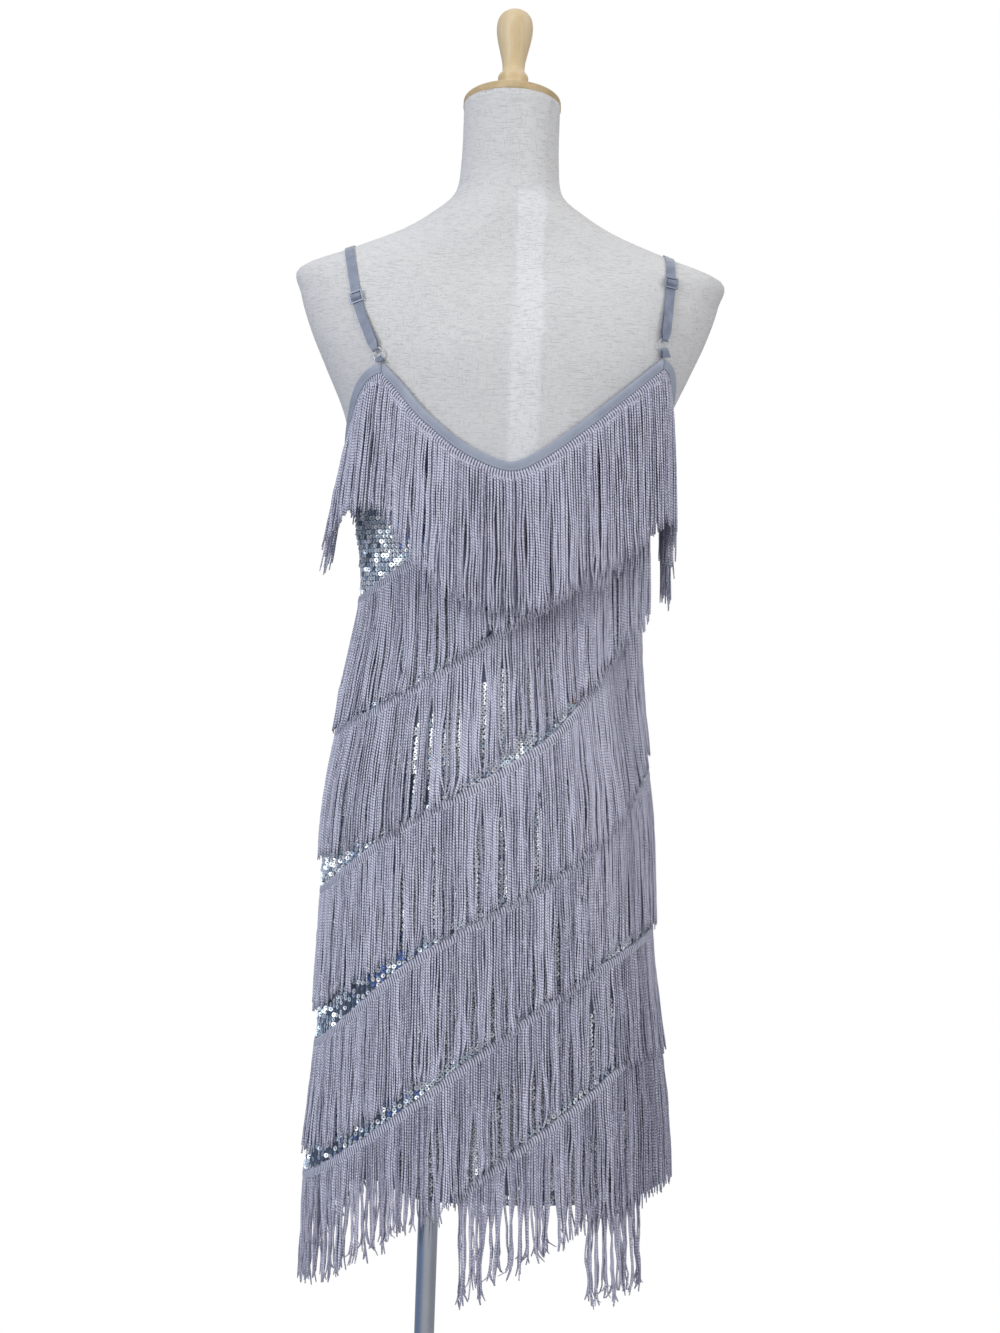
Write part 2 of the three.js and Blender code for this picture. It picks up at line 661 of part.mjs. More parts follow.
// The strap's way through its slider, from the slider's centre.
const SLIDER_LIFT = STRAP.clear + 2 * (STRAP.wall + SEAM_GAP);
const UNDER = STRAP.clear + STRAP.wall / 2;
const UNDER_SECOND = UNDER + STRAP.wall + SEAM_GAP;
const OVER = SLIDER_LIFT + SLIDER.wall + SEAM_GAP + STRAP.wall / 2;
const WEAVE = [
  { along: -3.6, out: UNDER_SECOND },
  { along: -2, out: SLIDER_LIFT + 0.8 },
  { along: -1, out: OVER },
  { along: 1.2, out: OVER },
  { along: 2.7, out: SLIDER_LIFT + 0.5 },
  { along: 3.9, out: UNDER_SECOND },
  { along: 6.4, out: UNDER_SECOND - 0.2 },
  { along: 11, out: UNDER },
];
const HOOK = [
  { along: 1.5, out: SLIDER_LIFT + 0.4 },
  { along: 1.5, out: UNDER + 0.7 },
  { along: 0.8, out: UNDER },
];

function strapPath(route) {
  const near = RING.radius + 5;
  const far = route.slider - SLIDER.height;
  const lift = route.cornerLift;
  const bend = RING.wire + SEAM_GAP + STRAP.wall / 2;
  const leg = (from, to, outFrom, outTo) => Array.from({ length: 5 }, (_, k) => ({
    along: THREE.MathUtils.lerp(from, to, k / 4),
    out: THREE.MathUtils.lerp(outFrom, outTo, THREE.MathUtils.smoothstep(k / 4, 0, 1)),
  }));
  const shift = (stops) => stops.map((stop) => ({ ...stop, along: stop.along + route.slider }));
  const climb = route.slider + WEAVE[WEAVE.length - 1].along;
  const steps = 22;
  const over = Array.from({ length: steps }, (_, k) => {
    const share = (k + 1) / steps;
    const rise = THREE.MathUtils.smoothstep(share, 0.8, 1) * (lift - UNDER);
    return { along: THREE.MathUtils.lerp(climb, route.end, share), out: UNDER + rise };
  });
  return [
    ...shift(HOOK),
    ...leg(far, near, UNDER, lift - bend),
    ...hairpin(lift, -1),
    ...leg(near, far, lift + bend, UNDER_SECOND),
    ...shift(WEAVE),
    ...over,
  ];
}

function tabPath(route) {
  const lift = route.cornerLift;
  const turn = hairpin(lift, 1);
  const foot = (stop) => ({ along: route.start, out: stop.out, width: STRAP.width });
  return [foot(turn[0]), ...turn, foot(turn[turn.length - 1])];
}

function place(geometry, frame, lift) {
  const centre = frame.point.clone().addScaledVector(frame.normal, lift);
  const basis = new THREE.Matrix4().makeBasis(frame.sideways, frame.tangent, frame.normal);
  return geometry.applyMatrix4(basis.setPosition(centre));
}

function roundedOutline(outline, width, height, corner) {
  const x = width / 2;
  const y = height / 2;
  outline.moveTo(-x + corner, -y);
  outline.lineTo(x - corner, -y);
  outline.absarc(x - corner, -y + corner, corner, -Math.PI / 2, 0, false);
  outline.lineTo(x, y - corner);
  outline.absarc(x - corner, y - corner, corner, 0, Math.PI / 2, false);
  outline.lineTo(-x + corner, y);
  outline.absarc(-x + corner, y - corner, corner, Math.PI / 2, Math.PI, false);
  outline.lineTo(-x, -y + corner);
  outline.absarc(-x + corner, -y + corner, corner, Math.PI, Math.PI * 1.5, false);
  return outline;
}

function sliderFrame() {
  const shape = roundedOutline(new THREE.Shape(), SLIDER.width, SLIDER.height, SLIDER.corner);
  const window = { width: SLIDER.width - 2 * SLIDER.bar, height: (SLIDER.height - 3 * SLIDER.bar) / 2 };
  for (const side of [-1, 1]) {
    const middle = (side * (window.height + SLIDER.bar)) / 2;
    const x = window.width / 2;
    const y = window.height / 2;
    const hole = new THREE.Path();
    hole.moveTo(-x, middle - y);
    hole.lineTo(-x, middle + y);
    hole.lineTo(x, middle + y);
    hole.lineTo(x, middle - y);
    hole.closePath();
    shape.holes.push(hole);
  }
  return new THREE.ExtrudeGeometry(shape, { depth: SLIDER.wall, bevelEnabled: false, curveSegments: 4 });
}

for (const strap of STRAPS) {
  const route = strapRoute(strap);
  const ring = new THREE.TorusGeometry(RING.radius, RING.wire, 8, 24);
  add(`${strap.side}_tab`, strapCloth(route, tabPath(route)), BINDING_SATIN);
  add(`${strap.side}_ring`, place(ring, route.frameAt(0), route.cornerLift), CLEAR_PLASTIC);
  add(`${strap.side}_strap`, strapCloth(route, strapPath(route)), BINDING_SATIN);
  add(`${strap.side}_slider`, place(sliderFrame(), route.frameAt(route.slider), SLIDER_LIFT), STRAP_METAL);
}

// ---------------------------------------------------------------- dress form

// The neck's rings lean more and more towards the cap's tilt above its root.
function torsoRing(z) {
  const top = TORSO[TORSO.length - 1].z;
  const lean = THREE.MathUtils.smoothstep(z, NECK_ROOT, top) * Math.tan(NECK_TILT);
  return Array.from({ length: TORSO_SIDES }, (_, k) => {
    const point = outlinePoint(TORSO, (360 * k) / TORSO_SIDES, z);
    point.z -= lean * (point.y - CAP.y);
    return point;
  });
}

const TORSO_LEVELS = [];
TORSO.forEach((row, k) => {
  TORSO_LEVELS.push(row.z);
  if (k + 1 < TORSO.length) TORSO_LEVELS.push((row.z + TORSO[k + 1].z) / 2);
});
add('form_torso', loft(TORSO_LEVELS.map(torsoRing)), LINEN);

function onNeck(geometry, height) {
  geometry.translate(0, 0, height);
  geometry.rotateX(-NECK_TILT);
  return geometry.translate(CAP.x, CAP.y, CAP_SEAT);
}

const cap = turned(bevelledDisc(CAP.radius, CAP.thickness, CAP.bevel));
add('neck_cap', onNeck(cap, 0), PALE_WOOD);
add('cap_knob', onNeck(turned(KNOB_PROFILE, 36), CAP.thickness + SEAM_GAP), PALE_WOOD);

// ---------------------------------------------------------------- stand

function onPole(geometry, height) {
  return geometry.translate(POLE.x, 0, height);
}

add('base_plate', onPole(turned(bevelledDisc(PLATE.radius, PLATE.thickness, PLATE.bevel)), 0), CHROME);

const bore = POLE.radius + POLE_CLEARANCE;
const collar = [
  { height: 0, radius: bore },
  { height: 0, radius: COLLAR.outer },
  { height: COLLAR.height - COLLAR.bevel, radius: COLLAR.outer },
  { height: COLLAR.height, radius: COLLAR.outer - COLLAR.bevel },
  { height: COLLAR.height, radius: bore },
  { height: 0, radius: bore },
];
add('pole_collar', onPole(turned(collar), PLATE.thickness + SEAM_GAP), CHROME);

const socketTop = TORSO[0].z - SEAM_GAP;
const socketFoot = socketTop - SOCKET.length;
const socketBore = [
  { height: SOCKET.length - SOCKET.flangeThickness, radius: 0 },
  { height: SOCKET.length - SOCKET.flangeThickness, radius: bore },
];
const socket = [
  ...socketBore,
  { height: 0, radius: bore },
  { height: 0, radius: SOCKET.outer },
  { height: SOCKET.length - SOCKET.flangeThickness, radius: SOCKET.outer },
  { height: SOCKET.length - SOCKET.flangeThickness, radius: SOCKET.flange - SOCKET.bevel },
  { height: SOCKET.length - SOCKET.flangeThickness + SOCKET.bevel, radius: SOCKET.flange },
  { height: SOCKET.length, radius: SOCKET.flange },
  { height: SOCKET.length, radius: 0 },
];
add('pole_socket', onPole(turned(socket), socketFoot), CHROME);

const poleFoot = PLATE.thickness + SEAM_GAP;
const poleTop = socketTop - SOCKET.flangeThickness - SEAM_GAP;
const pole = [
  { height: 0, radius: 0 },
  { height: 0, radius: POLE.radius },
  { height: poleTop - poleFoot, radius: POLE.radius },
  { height: poleTop - poleFoot, radius: 0 },
];
add('pole', onPole(turned(pole), poleFoot), CHROME);

export default group;
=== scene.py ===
"""The looks of a flapper dress on its dress form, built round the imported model.

Lengths in the tables are millimetres, +Z up, with the origin on the floor under the dress's centre
line. -Y is the dress's back. An angle goes round the body from the centre back, positive towards +X,
so the side seams are at -90 and +90 degrees.
"""

import logging
import math
from collections.abc import Sequence
from dataclasses import astuple, dataclass, field
from enum import Enum

import bmesh
import bpy
import numpy as np
from mathutils import Matrix, Vector


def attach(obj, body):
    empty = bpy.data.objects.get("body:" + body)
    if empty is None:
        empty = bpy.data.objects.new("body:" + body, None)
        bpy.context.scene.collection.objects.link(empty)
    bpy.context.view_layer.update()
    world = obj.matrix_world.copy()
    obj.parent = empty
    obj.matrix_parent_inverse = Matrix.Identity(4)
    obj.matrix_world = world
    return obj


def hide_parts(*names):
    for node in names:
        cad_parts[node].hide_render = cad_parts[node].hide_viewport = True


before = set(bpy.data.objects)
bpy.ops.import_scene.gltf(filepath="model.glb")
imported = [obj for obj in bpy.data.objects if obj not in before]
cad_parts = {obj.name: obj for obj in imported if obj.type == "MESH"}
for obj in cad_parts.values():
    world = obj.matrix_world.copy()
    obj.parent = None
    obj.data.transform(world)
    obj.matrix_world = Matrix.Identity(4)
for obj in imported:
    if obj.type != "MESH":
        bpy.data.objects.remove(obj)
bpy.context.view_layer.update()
LOG = logging.getLogger("flapper_dress")

MM = 0.001
# the side seams' angle, the height of the hem and the only body
SEAM = 90.0
HEM = 472.0
ROOT = "root"
# how far the strands drift towards +X for each millimetre that they fall
PLUMB_LEAN = 0.032
# where the key light and the camera are
KEY_PLACE = (-2100.0, -2300.0, 1900.0)
EYE_PLACE = (0.0, -2200.0, 956.1)

Colour = tuple[float, float, float]
Table = tuple[float, ...]


# ---------------------------------------------------------------- curves and surfaces


@dataclass(frozen=True)
class Section:
    """A level section of a body; square is the exponent of its rounded outline, 2 for an ellipse."""

    z: float
    centre: float
    half_width: float
    back: float
    front: float
    square: float


TORSO_SECTIONS = (
    Section(636, -5, 145, 106, 98, 2.3),
    Section(700, -5, 149, 112, 101, 2.3),
    Section(778, -5, 149, 113, 101, 2.25),
    Section(832, -5, 145, 109, 99, 2.2),
    Section(900, -5, 135, 97, 95, 2.15),
    Section(960, -4, 126, 86, 91, 2.1),
    Section(1015, -3, 122, 80, 87, 2.1),
    Section(1060, -3, 126, 84, 93, 2.1),
    Section(1110, -3, 136, 93, 112, 2.15),
    Section(1150, -3, 144, 99, 118, 2.2),
    Section(1190, -3, 153, 102, 108, 2.25),
    Section(1236, -3, 173, 101, 92, 2.3),
    Section(1268, -3, 187, 94, 80, 2.3),
    Section(1302, -3, 198, 81, 67, 2.3),
    Section(1327, -3, 200, 68, 57, 2.3),
    Section(1347, -4, 150, 62, 51, 2.2),
    Section(1366, -5, 103, 58, 48, 2.1),
    Section(1384, -6, 73, 54, 47, 2.05),
    Section(1402, -7, 52, 47, 47, 2),
    Section(1430, -7, 46.5, 40, 49, 2),
    Section(1486, -7, 45.5, 37, 54, 2),
)

DRESS_SECTIONS = (
    Section(472, 3.5, 170.5, 119, 114, 2.25),
    Section(550, 3, 166, 119, 112, 2.25),
    Section(635, -0.5, 158.5, 119, 109, 2.3),
    Section(703, -4, 155, 119, 107, 2.3),
    Section(778, -6, 154.5, 119, 107, 2.25),
    Section(832, -6.5, 152, 117, 106, 2.2),
    Section(890, -6.5, 144.5, 107, 102, 2.15),
    Section(929, -6.5, 140, 99, 99, 2.15),
    Section(974, -4, 134.5, 92, 97, 2.1),
    Section(1015, -2, 131.5, 88, 95, 2.1),
    Section(1060, -2, 134, 91, 100, 2.1),
    Section(1110, -3, 142, 99, 118, 2.15),
    Section(1150, -3, 149.5, 104.5, 123.5, 2.2),
    Section(1190, -3, 158.5, 107.5, 113.5, 2.25),
    Section(1236, -3, 178.5, 106.5, 97.5, 2.3),
    Section(1268, -3, 192.5, 99.5, 85.5, 2.3),
)


def ease(u: np.ndarray) -> np.ndarray:
    """Bend an even rise from 0 to 1 into one that starts and ends level."""
    return u * u * (3 - 2 * u)


def smooth_curve(at: np.ndarray, keys: np.ndarray, values: np.ndarray) -> np.ndarray:
    """Read a smooth curve through a table.

    Args:
        at: where to read it.
        keys: the rising keys of the table.
        values: the value at each key.

    Returns:
        The curve's values, held level beyond the table's ends.
    """
    slopes = np.empty_like(values)
    slopes[1:-1] = (values[2:] - values[:-2]) / (keys[2:] - keys[:-2])
    slopes[0] = (values[1] - values[0]) / (keys[1] - keys[0])
    slopes[-1] = (values[-1] - values[-2]) / (keys[-1] - keys[-2])
    at = np.clip(at, keys[0], keys[-1])
    i = np.clip(np.searchsorted(keys, at, "right") - 1, 0, len(keys) - 2)
    span = keys[i + 1] - keys[i]
    u = (at - keys[i]) / span
    rise = ease(u)
    hold = values[i] * (1 - rise) + values[i + 1] * rise
    return hold + span * (slopes[i] * u * (1 - u) ** 2 - slopes[i + 1] * u * u * (1 - u))


def smoothstep(x: np.ndarray, low: float, high: float) -> np.ndarray:
    """Rise smoothly from 0 at low to 1 at high."""
    return ease(np.clip((x - low) / (high - low), 0, 1))


def unit(v: np.ndarray) -> np.ndarray:
    """Scale vectors to length 1."""
    return v / np.maximum(np.linalg.norm(v, axis=-1, keepdims=True), 1e-9)


class Body:
    """A smooth body through level sections."""

    def __init__(self, sections: Sequence[Section]) -> None:
        """Keep the sections as columns.

        Args:
            sections: the level sections, from the lowest up.
        """
        table = np.array([astuple(s) for s in sections], float)
        self.keys = table[:, 0]
        names = ("centre", "half_width", "back", "front", "square")
        self.columns = {name: table[:, k + 1] for k, name in enumerate(names)}

    def read(self, name: str, z: np.ndarray) -> np.ndarray:
        """Read one column of the sections at a height."""
        return smooth_curve(z, self.keys, self.columns[name])

    def point(self, degrees: np.ndarray, z: np.ndarray) -> np.ndarray:
        """Find points of the body's skin.

        Args:
            degrees: the angles round the body.
            z: the heights, of the same or a matching shape.

        Returns:
            The points, with x, y and z last.
        """
        degrees, z = np.broadcast_arrays(np.asarray(degrees, float), np.asarray(z, float))
        across = np.sin(np.radians(degrees))
        along = -np.cos(np.radians(degrees))
        depth = np.where(along < 0, self.read("back", z), self.read("front", z))
        n = self.read("square", z)
        total = (np.abs(across) / self.read("half_width", z)) ** n + (np.abs(along) / depth) ** n
        radius = total ** (-1 / n)
        return np.stack([self.read("centre", z) + radius * across, radius * along, z], -1)

    def out(self, degrees: np.ndarray, z: np.ndarray) -> np.ndarray:
        """Find the level direction that points out of the skin."""
        turn = 0.5
        step = self.point(np.asarray(degrees) + turn, z) - self.point(np.asarray(degrees) - turn, z)
        return unit(np.stack([step[..., 1], -step[..., 0], np.zeros_like(step[..., 0])], -1))

    def place_across(self, degrees: np.ndarray, z: np.ndarray) -> np.ndarray:
        """Find how far out across the body an angle lies, from -1 to 1."""
        return (self.point(degrees, z)[..., 0] - self.read("centre", z)) / self.read("half_width", z)


def run_along(points: np.ndarray) -> np.ndarray:
    """Measure how far along a line each of its points lies."""
    return np.concatenate([[0], np.cumsum(np.linalg.norm(np.diff(points, axis=0), axis=1))])


def around(normal: np.ndarray) -> np.ndarray:
    """Turn a level outward direction into the one round the body, towards rising angles."""
    return np.stack([-normal[..., 1], normal[..., 0], np.zeros_like(normal[..., 0])], -1)


TORSO = Body(TORSO_SECTIONS)
DRESS = Body(DRESS_SECTIONS)


@dataclass(frozen=True)
class DressEdge:
    """The dress's top edge: a V neck, the same back and front, and the armholes.

    The left and right strap points are angles on the back. The neck's left arm, of the level reach left_arm,
    sags by left_sag.
    """

    low: float = 1140
    centre: float = 3
    slope: float = 0.917
    rounding: float = 32
    left: float = -52.5
    right: float = 63
    underarm: float = 1145
    left_arm: float = 115
    left_sag: float = 7.5

    def back_angle(self, degrees: np.ndarray) -> np.ndarray:
        """Mirror an angle on the front to the back, through the side seams."""
        degrees = np.asarray(degrees, float)
        return np.where(np.abs(degrees) > SEAM, self.mirrored(degrees, degrees), degrees)

    def mirrored(self, side: np.ndarray, degrees: np.ndarray) -> np.ndarray:
        """Mirror angles through the side seam on the same side as the first ones."""
        return np.where(side > 0, 180 - degrees, -180 - degrees)

    def neck(self, degrees: np.ndarray) -> np.ndarray:
        """Find the height of the neck's edge at an angle; its left arm sags a little."""
        z = np.full_like(np.asarray(degrees, float), self.low)
        for _ in range(12):
            offset = DRESS.point(degrees, z)[..., 0] - self.centre
            across = np.abs(offset)
            share = -offset / self.left_arm
            sag = self.left_sag * smoothstep(share, 0.02, 0.5) * (1 - smoothstep(share, 0.65, 1))
            z = self.low + self.slope * across**2 / (across + self.rounding) - sag
        return z

    def height(self, degrees: np.ndarray) -> np.ndarray:
        """Find the height of the top edge all round the body."""
        degrees = np.asarray(degrees, float)
        angle = self.back_angle(degrees)
        corner = np.where(angle < 0, self.left, self.right)
        strap_point = np.where(np.abs(degrees) > SEAM, self.mirrored(degrees, corner), corner)
        up = ease(np.clip((SEAM - np.abs(angle)) / (SEAM - np.abs(corner)), 0, 1))
        side = self.underarm + (self.neck(strap_point) - self.underarm) * up
        return np.where((angle >= self.left) & (angle <= self.right), self.neck(degrees), side)

    def steepness(self, degrees: np.ndarray) -> np.ndarray:
        """Find how much longer a strip along the edge is upright than across."""
        turn = 0.2
        ahead, behind = np.asarray(degrees, float) + turn, np.asarray(degrees, float) - turn
        step = DRESS.point(ahead, self.height(ahead)) - DRESS.point(behind, self.height(behind))
        return np.linalg.norm(step, axis=-1) / np.hypot(step[..., 0], step[..., 1])


EDGE = DressEdge()


class Half(Enum):
    """The dress's back or its front, as the angles of its two side seams."""

    BACK = (-SEAM, SEAM)
    FRONT = (SEAM, 360 - SEAM)

    @property
    def label(self) -> str:
        """Name the half as its nodes do."""
        return self.name.lower()


# ---------------------------------------------------------------- mesh helpers


def link(name: str, data: bpy.types.ID) -> bpy.types.Object:
    """Put a mesh, a light or a camera into the scene as a named object at the origin."""
    piece = bpy.data.objects.new(name, data)
    bpy.context.scene.collection.objects.link(piece)
    return piece


def link_work(work: bmesh.types.BMesh, mesh: bpy.types.Mesh, smooth: bool) -> bpy.types.Object:
    """Write what was made in bmesh to a mesh, and link that under its own name."""
    work.to_mesh(mesh)
    work.free()
    mesh.polygons.foreach_set("use_smooth", np.full(len(mesh.polygons), smooth))
    return link(mesh.name, mesh)


def mesh_of(name: str, points: np.ndarray, quads: np.ndarray, uv: np.ndarray | None = None,
            smooth: bool = True) -> bpy.types.Object:
    """Make an object from arrays.

    Args:
        name: the object's name.
        points: the vertices in millimetres, one a row.
        quads: the four vertex numbers of each face.
        uv: a pair for each vertex, or None.
        smooth: whether the faces are shaded smooth.

    Returns:
        The linked object.
    """
    mesh = bpy.data.meshes.new(name)
    mesh.vertices.add(len(points))
    mesh.vertices.foreach_set("co", (points * MM).astype(np.float32).ravel())
    loops = quads.astype(np.int32).ravel()
    mesh.loops.add(len(loops))
    mesh.loops.foreach_set("vertex_index", loops)
    mesh.polygons.add(len(quads))
    mesh.polygons.foreach_set("loop_start", np.arange(0, len(loops), 4, dtype=np.int32))
    mesh.polygons.foreach_set("use_smooth", np.full(len(quads), smooth))
    if uv is not None:
        layer = mesh.uv_layers.new(name="UVMap")
        layer.data.foreach_set("uv", uv[loops].astype(np.float32).ravel())
    mesh.update(calc_edges=True)
    return link(name, mesh)


def copy_of(node: str, name: str, smooth: bool) -> bpy.types.Object:
    """Copy a CAD node's mesh, merged, as a new piece."""
    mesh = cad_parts[node].data.copy()
    mesh.name = name
    work = bmesh.new()
    work.from_mesh(mesh)
    bmesh.ops.remove_doubles(work, verts=work.verts, dist=0.01 * MM)
    bmesh.ops.dissolve_limit(work, angle_limit=math.radians(1), verts=work.verts, edges=work.edges)
    return link_work(work, mesh, smooth)


def give_values(piece: bpy.types.Object, name: str, values: np.ndarray) -> None:
    """Store one number on each vertex under a name that a material reads."""
    attribute = piece.data.attributes.new(name, "FLOAT", "POINT")
    attribute.data.foreach_set("value", values.astype(np.float32).ravel())


def grid_quads(rows: int, columns: int, wrap: bool = False) -> np.ndarray:
    """Number the faces of a grid of points, with its columns joined round if wrap is true."""
    number = np.arange(rows * columns).reshape(rows, columns)
    after = np.roll(number, -1, axis=1) if wrap else number[:, 1:]
    first = number if wrap else number[:, :-1]
    quads = np.stack([first[:-1], after[:-1], after[1:], first[1:]], -1)
    return quads.reshape(-1, 4)


def sheet_of(name: str, points: np.ndarray, uv: np.ndarray | None = None,
             wrap: bool = False) -> bpy.types.Object:
    """Make a smooth sheet from a grid of points, with rows first."""
    rows, columns = points.shape[:2]
    flat_uv = None if uv is None else uv.reshape(-1, 2)
    return mesh_of(name, points.reshape(-1, 3), grid_quads(rows, columns, wrap), flat_uv)


def bars_of(name: str, rings: np.ndarray, uv: np.ndarray, values: np.ndarray) -> bpy.types.Object:
    """Join many closed four-sided bars into one mesh.

    Args:
        name: the object's name.
        rings: the points, as bars x rings x 4 x 3.
        uv: a pair for each point.
        values: one number for each bar, stored as tone.

    Returns:
        The linked object.
    """
    bars, stops = rings.shape[:2]
    number = np.arange(bars * stops * 4).reshape(bars, stops, 4)
    turned = np.roll(number, -1, axis=2)
    sides = np.stack([number[:, :-1], turned[:, :-1], turned[:, 1:], number[:, 1:]], -1)
    tops = number[:, 0, ::-1]
    ends = number[:, -1]
    quads = np.concatenate([sides.reshape(-1, 4), tops, ends])
    piece = mesh_of(name, rings.reshape(-1, 3), quads[:, ::-1], uv.reshape(-1, 2))
    give_values(piece, "tone", np.repeat(values, stops * 4))
    return piece


def tube_of(name: str, grid: np.ndarray, uv: np.ndarray) -> bpy.types.Object:
    """Make a closed ribbon from rows of points that go round its section, face first and then back.

    Args:
        name: the object's name.
        grid: the points, as an even number of rows x stations along the ribbon x 3.
        uv: a pair for each point.

    Returns:
        The linked object.
    """
    rows, columns = grid.shape[:2]
    number = np.arange(rows * columns).reshape(rows, columns)
    after = np.roll(number, -1, axis=0)
    sides = np.stack([number[:, :-1], number[:, 1:], after[:, 1:], after[:, :-1]], -1).reshape(-1, 4)
    face, back = number[:rows // 2], number[rows // 2:][::-1]
    ends = [np.stack([face[:-1, e], face[1:, e], back[1:, e], back[:-1, e]], -1) for e in (0, -1)]
    quads = np.concatenate([sides[:, ::-1], ends[0], ends[1][:, ::-1]])
    return mesh_of(name, grid.reshape(-1, 3), quads, uv.reshape(-1, 2))


def wall(piece: bpy.types.Object, thickness: float, inwards: bool = True) -> None:
    """Give a sheet its thickness, in millimetres."""
    solid = piece.modifiers.new("wall", "SOLIDIFY")
    solid.thickness = thickness * MM
    solid.offset = -1 if inwards else 0
    solid.use_even_offset = False


def edge_rounded(piece: bpy.types.Object, width: float, segments: int = 2) -> None:
    """Round a piece's edges by a width in millimetres."""
    bevel = piece.modifiers.new("rounding", "BEVEL")
    bevel.width = width * MM
    bevel.segments = segments
    bevel.limit_method = "ANGLE"
    bevel.angle_limit = math.radians(35)
    bevel.harden_normals = False


def dress_up(piece: bpy.types.Object, material: bpy.types.Material) -> None:
    """Give a piece its material and the body that it rides on."""
    piece.data.materials.clear()
    piece.data.materials.append(material)
    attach(piece, ROOT)


# ---------------------------------------------------------------- shader tools


class Graph:
    """A short way to place and join shader nodes."""

    def __init__(self, tree: bpy.types.NodeTree) -> None:
        """Work on a node tree."""
        self.tree = tree

    def add(self, kind: str, **settings: object) -> bpy.types.Node:
        """Place a node.

        Args:
            kind: the node's type without the words ShaderNode.
            settings: properties of the node, or values of its input sockets with _ for a space.

        Returns:
            The node.
        """
        node = self.tree.nodes.new("ShaderNode" + kind)
        sockets = {}
        for key, value in settings.items():
            if hasattr(node, key):
                setattr(node, key, value)
            else:
                sockets[key] = value
        self.fill(node, **sockets)
        return node

    def fill(self, node: bpy.types.Node, **sockets: object) -> None:
        """Give a node's named inputs, with _ for a space, their sources or values."""
        for key, value in sockets.items():
            self.put(value, node.inputs[key.replace("_", " ")])

    def put(self, value: object, socket: bpy.types.NodeSocket) -> None:
        """Link a socket's source, or set a plain value."""
        if isinstance(value, bpy.types.NodeSocket):
            self.tree.links.new(value, socket)
        elif isinstance(value, bpy.types.Node):
            self.tree.links.new(value.outputs[0], socket)
        else:
            socket.default_value = value

    def maths(self, operation: str, first: object, second: object = 0.5) -> bpy.types.NodeSocket:
        """Work out one number from two."""
        node = self.add("Math", operation=operation)
        self.put(first, node.inputs[0])
        if len(node.inputs) > 1:
            self.put(second, node.inputs[1])
        return node.outputs[0]

    def times(self, first: object, second: object) -> bpy.types.NodeSocket:
        """Multiply two numbers."""
        return self.maths("MULTIPLY", first, second)

    def plus(self, first: object, second: object) -> bpy.types.NodeSocket:
        """Add two numbers."""
        return self.maths("ADD", first, second)

    def where(self) -> bpy.types.NodeSocket:
        """Read where a point lies in its piece's own space."""
        return self.add("TexCoord").outputs["Object"]

    def uv(self) -> tuple[bpy.types.NodeSocket, bpy.types.NodeSocket]:
        """Read the two numbers of the UV map."""
        parts = self.add("SeparateXYZ", Vector=self.add("UVMap", uv_map="UVMap"))
        return parts.outputs["X"], parts.outputs["Y"]

    def stored(self, name: str) -> bpy.types.NodeSocket:
        """Read a number that is stored on the points."""
        return self.add("Attribute", attribute_name=name).outputs["Fac"]

    def blend(self, share: object, first: object, second: object,
              how: str = "MIX") -> bpy.types.NodeSocket:
        """Mix two colours."""
        node = self.add("Mix", data_type="RGBA", blend_type=how)
        self.put(share, node.inputs["Factor"])
        self.put(first, node.inputs[6])
        self.put(second, node.inputs[7])
        return node.outputs[2]

    def stretch(self, value: object, low: float, high: float, to_low: float = 0.0,
                to_high: float = 1.0) -> bpy.types.NodeSocket:
        """Map a range of values to another, held at its ends."""
        node = self.add("MapRange", Value=value, From_Min=low, From_Max=high, To_Min=to_low, To_Max=to_high)
        return node.outputs["Result"]

    def noise(self, where: object, scale: float, detail: float = 3,
              roughness: float = 0.55) -> bpy.types.NodeSocket:
        """Read a noise at points."""
        node = self.add("TexNoise", Vector=where, Scale=scale, Detail=detail, Roughness=roughness)
        return node.outputs["Fac"]

    def bump(self, height: object, distance: float, strength: float) -> bpy.types.NodeSocket:
        """Turn a height into a normal; the distance is in metres."""
        return self.add("Bump", Distance=distance, Strength=strength, Height=height).outputs["Normal"]


def new_group(name: str, inputs: dict[str, float], outputs: dict[str, str]) -> bpy.types.NodeTree:
    """Start a shader node group.

    Args:
        name: the group's name.
        inputs: the default of each number that goes in; Where, a vector, is always there.
        outputs: the kind, Float or Color, of each result.

    Returns:
        The group, with its input and output nodes in place.
    """
    tree = bpy.data.node_groups.new(name, "ShaderNodeTree")
    tree.interface.new_socket("Where", in_out="INPUT", socket_type="NodeSocketVector")
    for key, value in inputs.items():
        socket = tree.interface.new_socket(key, in_out="INPUT", socket_type="NodeSocketFloat")
        socket.default_value = value
    for key, kind in outputs.items():
        tree.interface.new_socket(key, in_out="OUTPUT", socket_type="NodeSocket" + kind)
    tree.nodes.new("NodeGroupInput")
    tree.nodes.new("NodeGroupOutput")
    return tree


def ends_of(tree: bpy.types.NodeTree) -> tuple[bpy.types.Node, bpy.types.Node]:
    """Find a group's input and output nodes."""
    source = next(n for n in tree.nodes if n.type == "GROUP_INPUT")
    target = next(n for n in tree.nodes if n.type == "GROUP_OUTPUT")
    return source, target


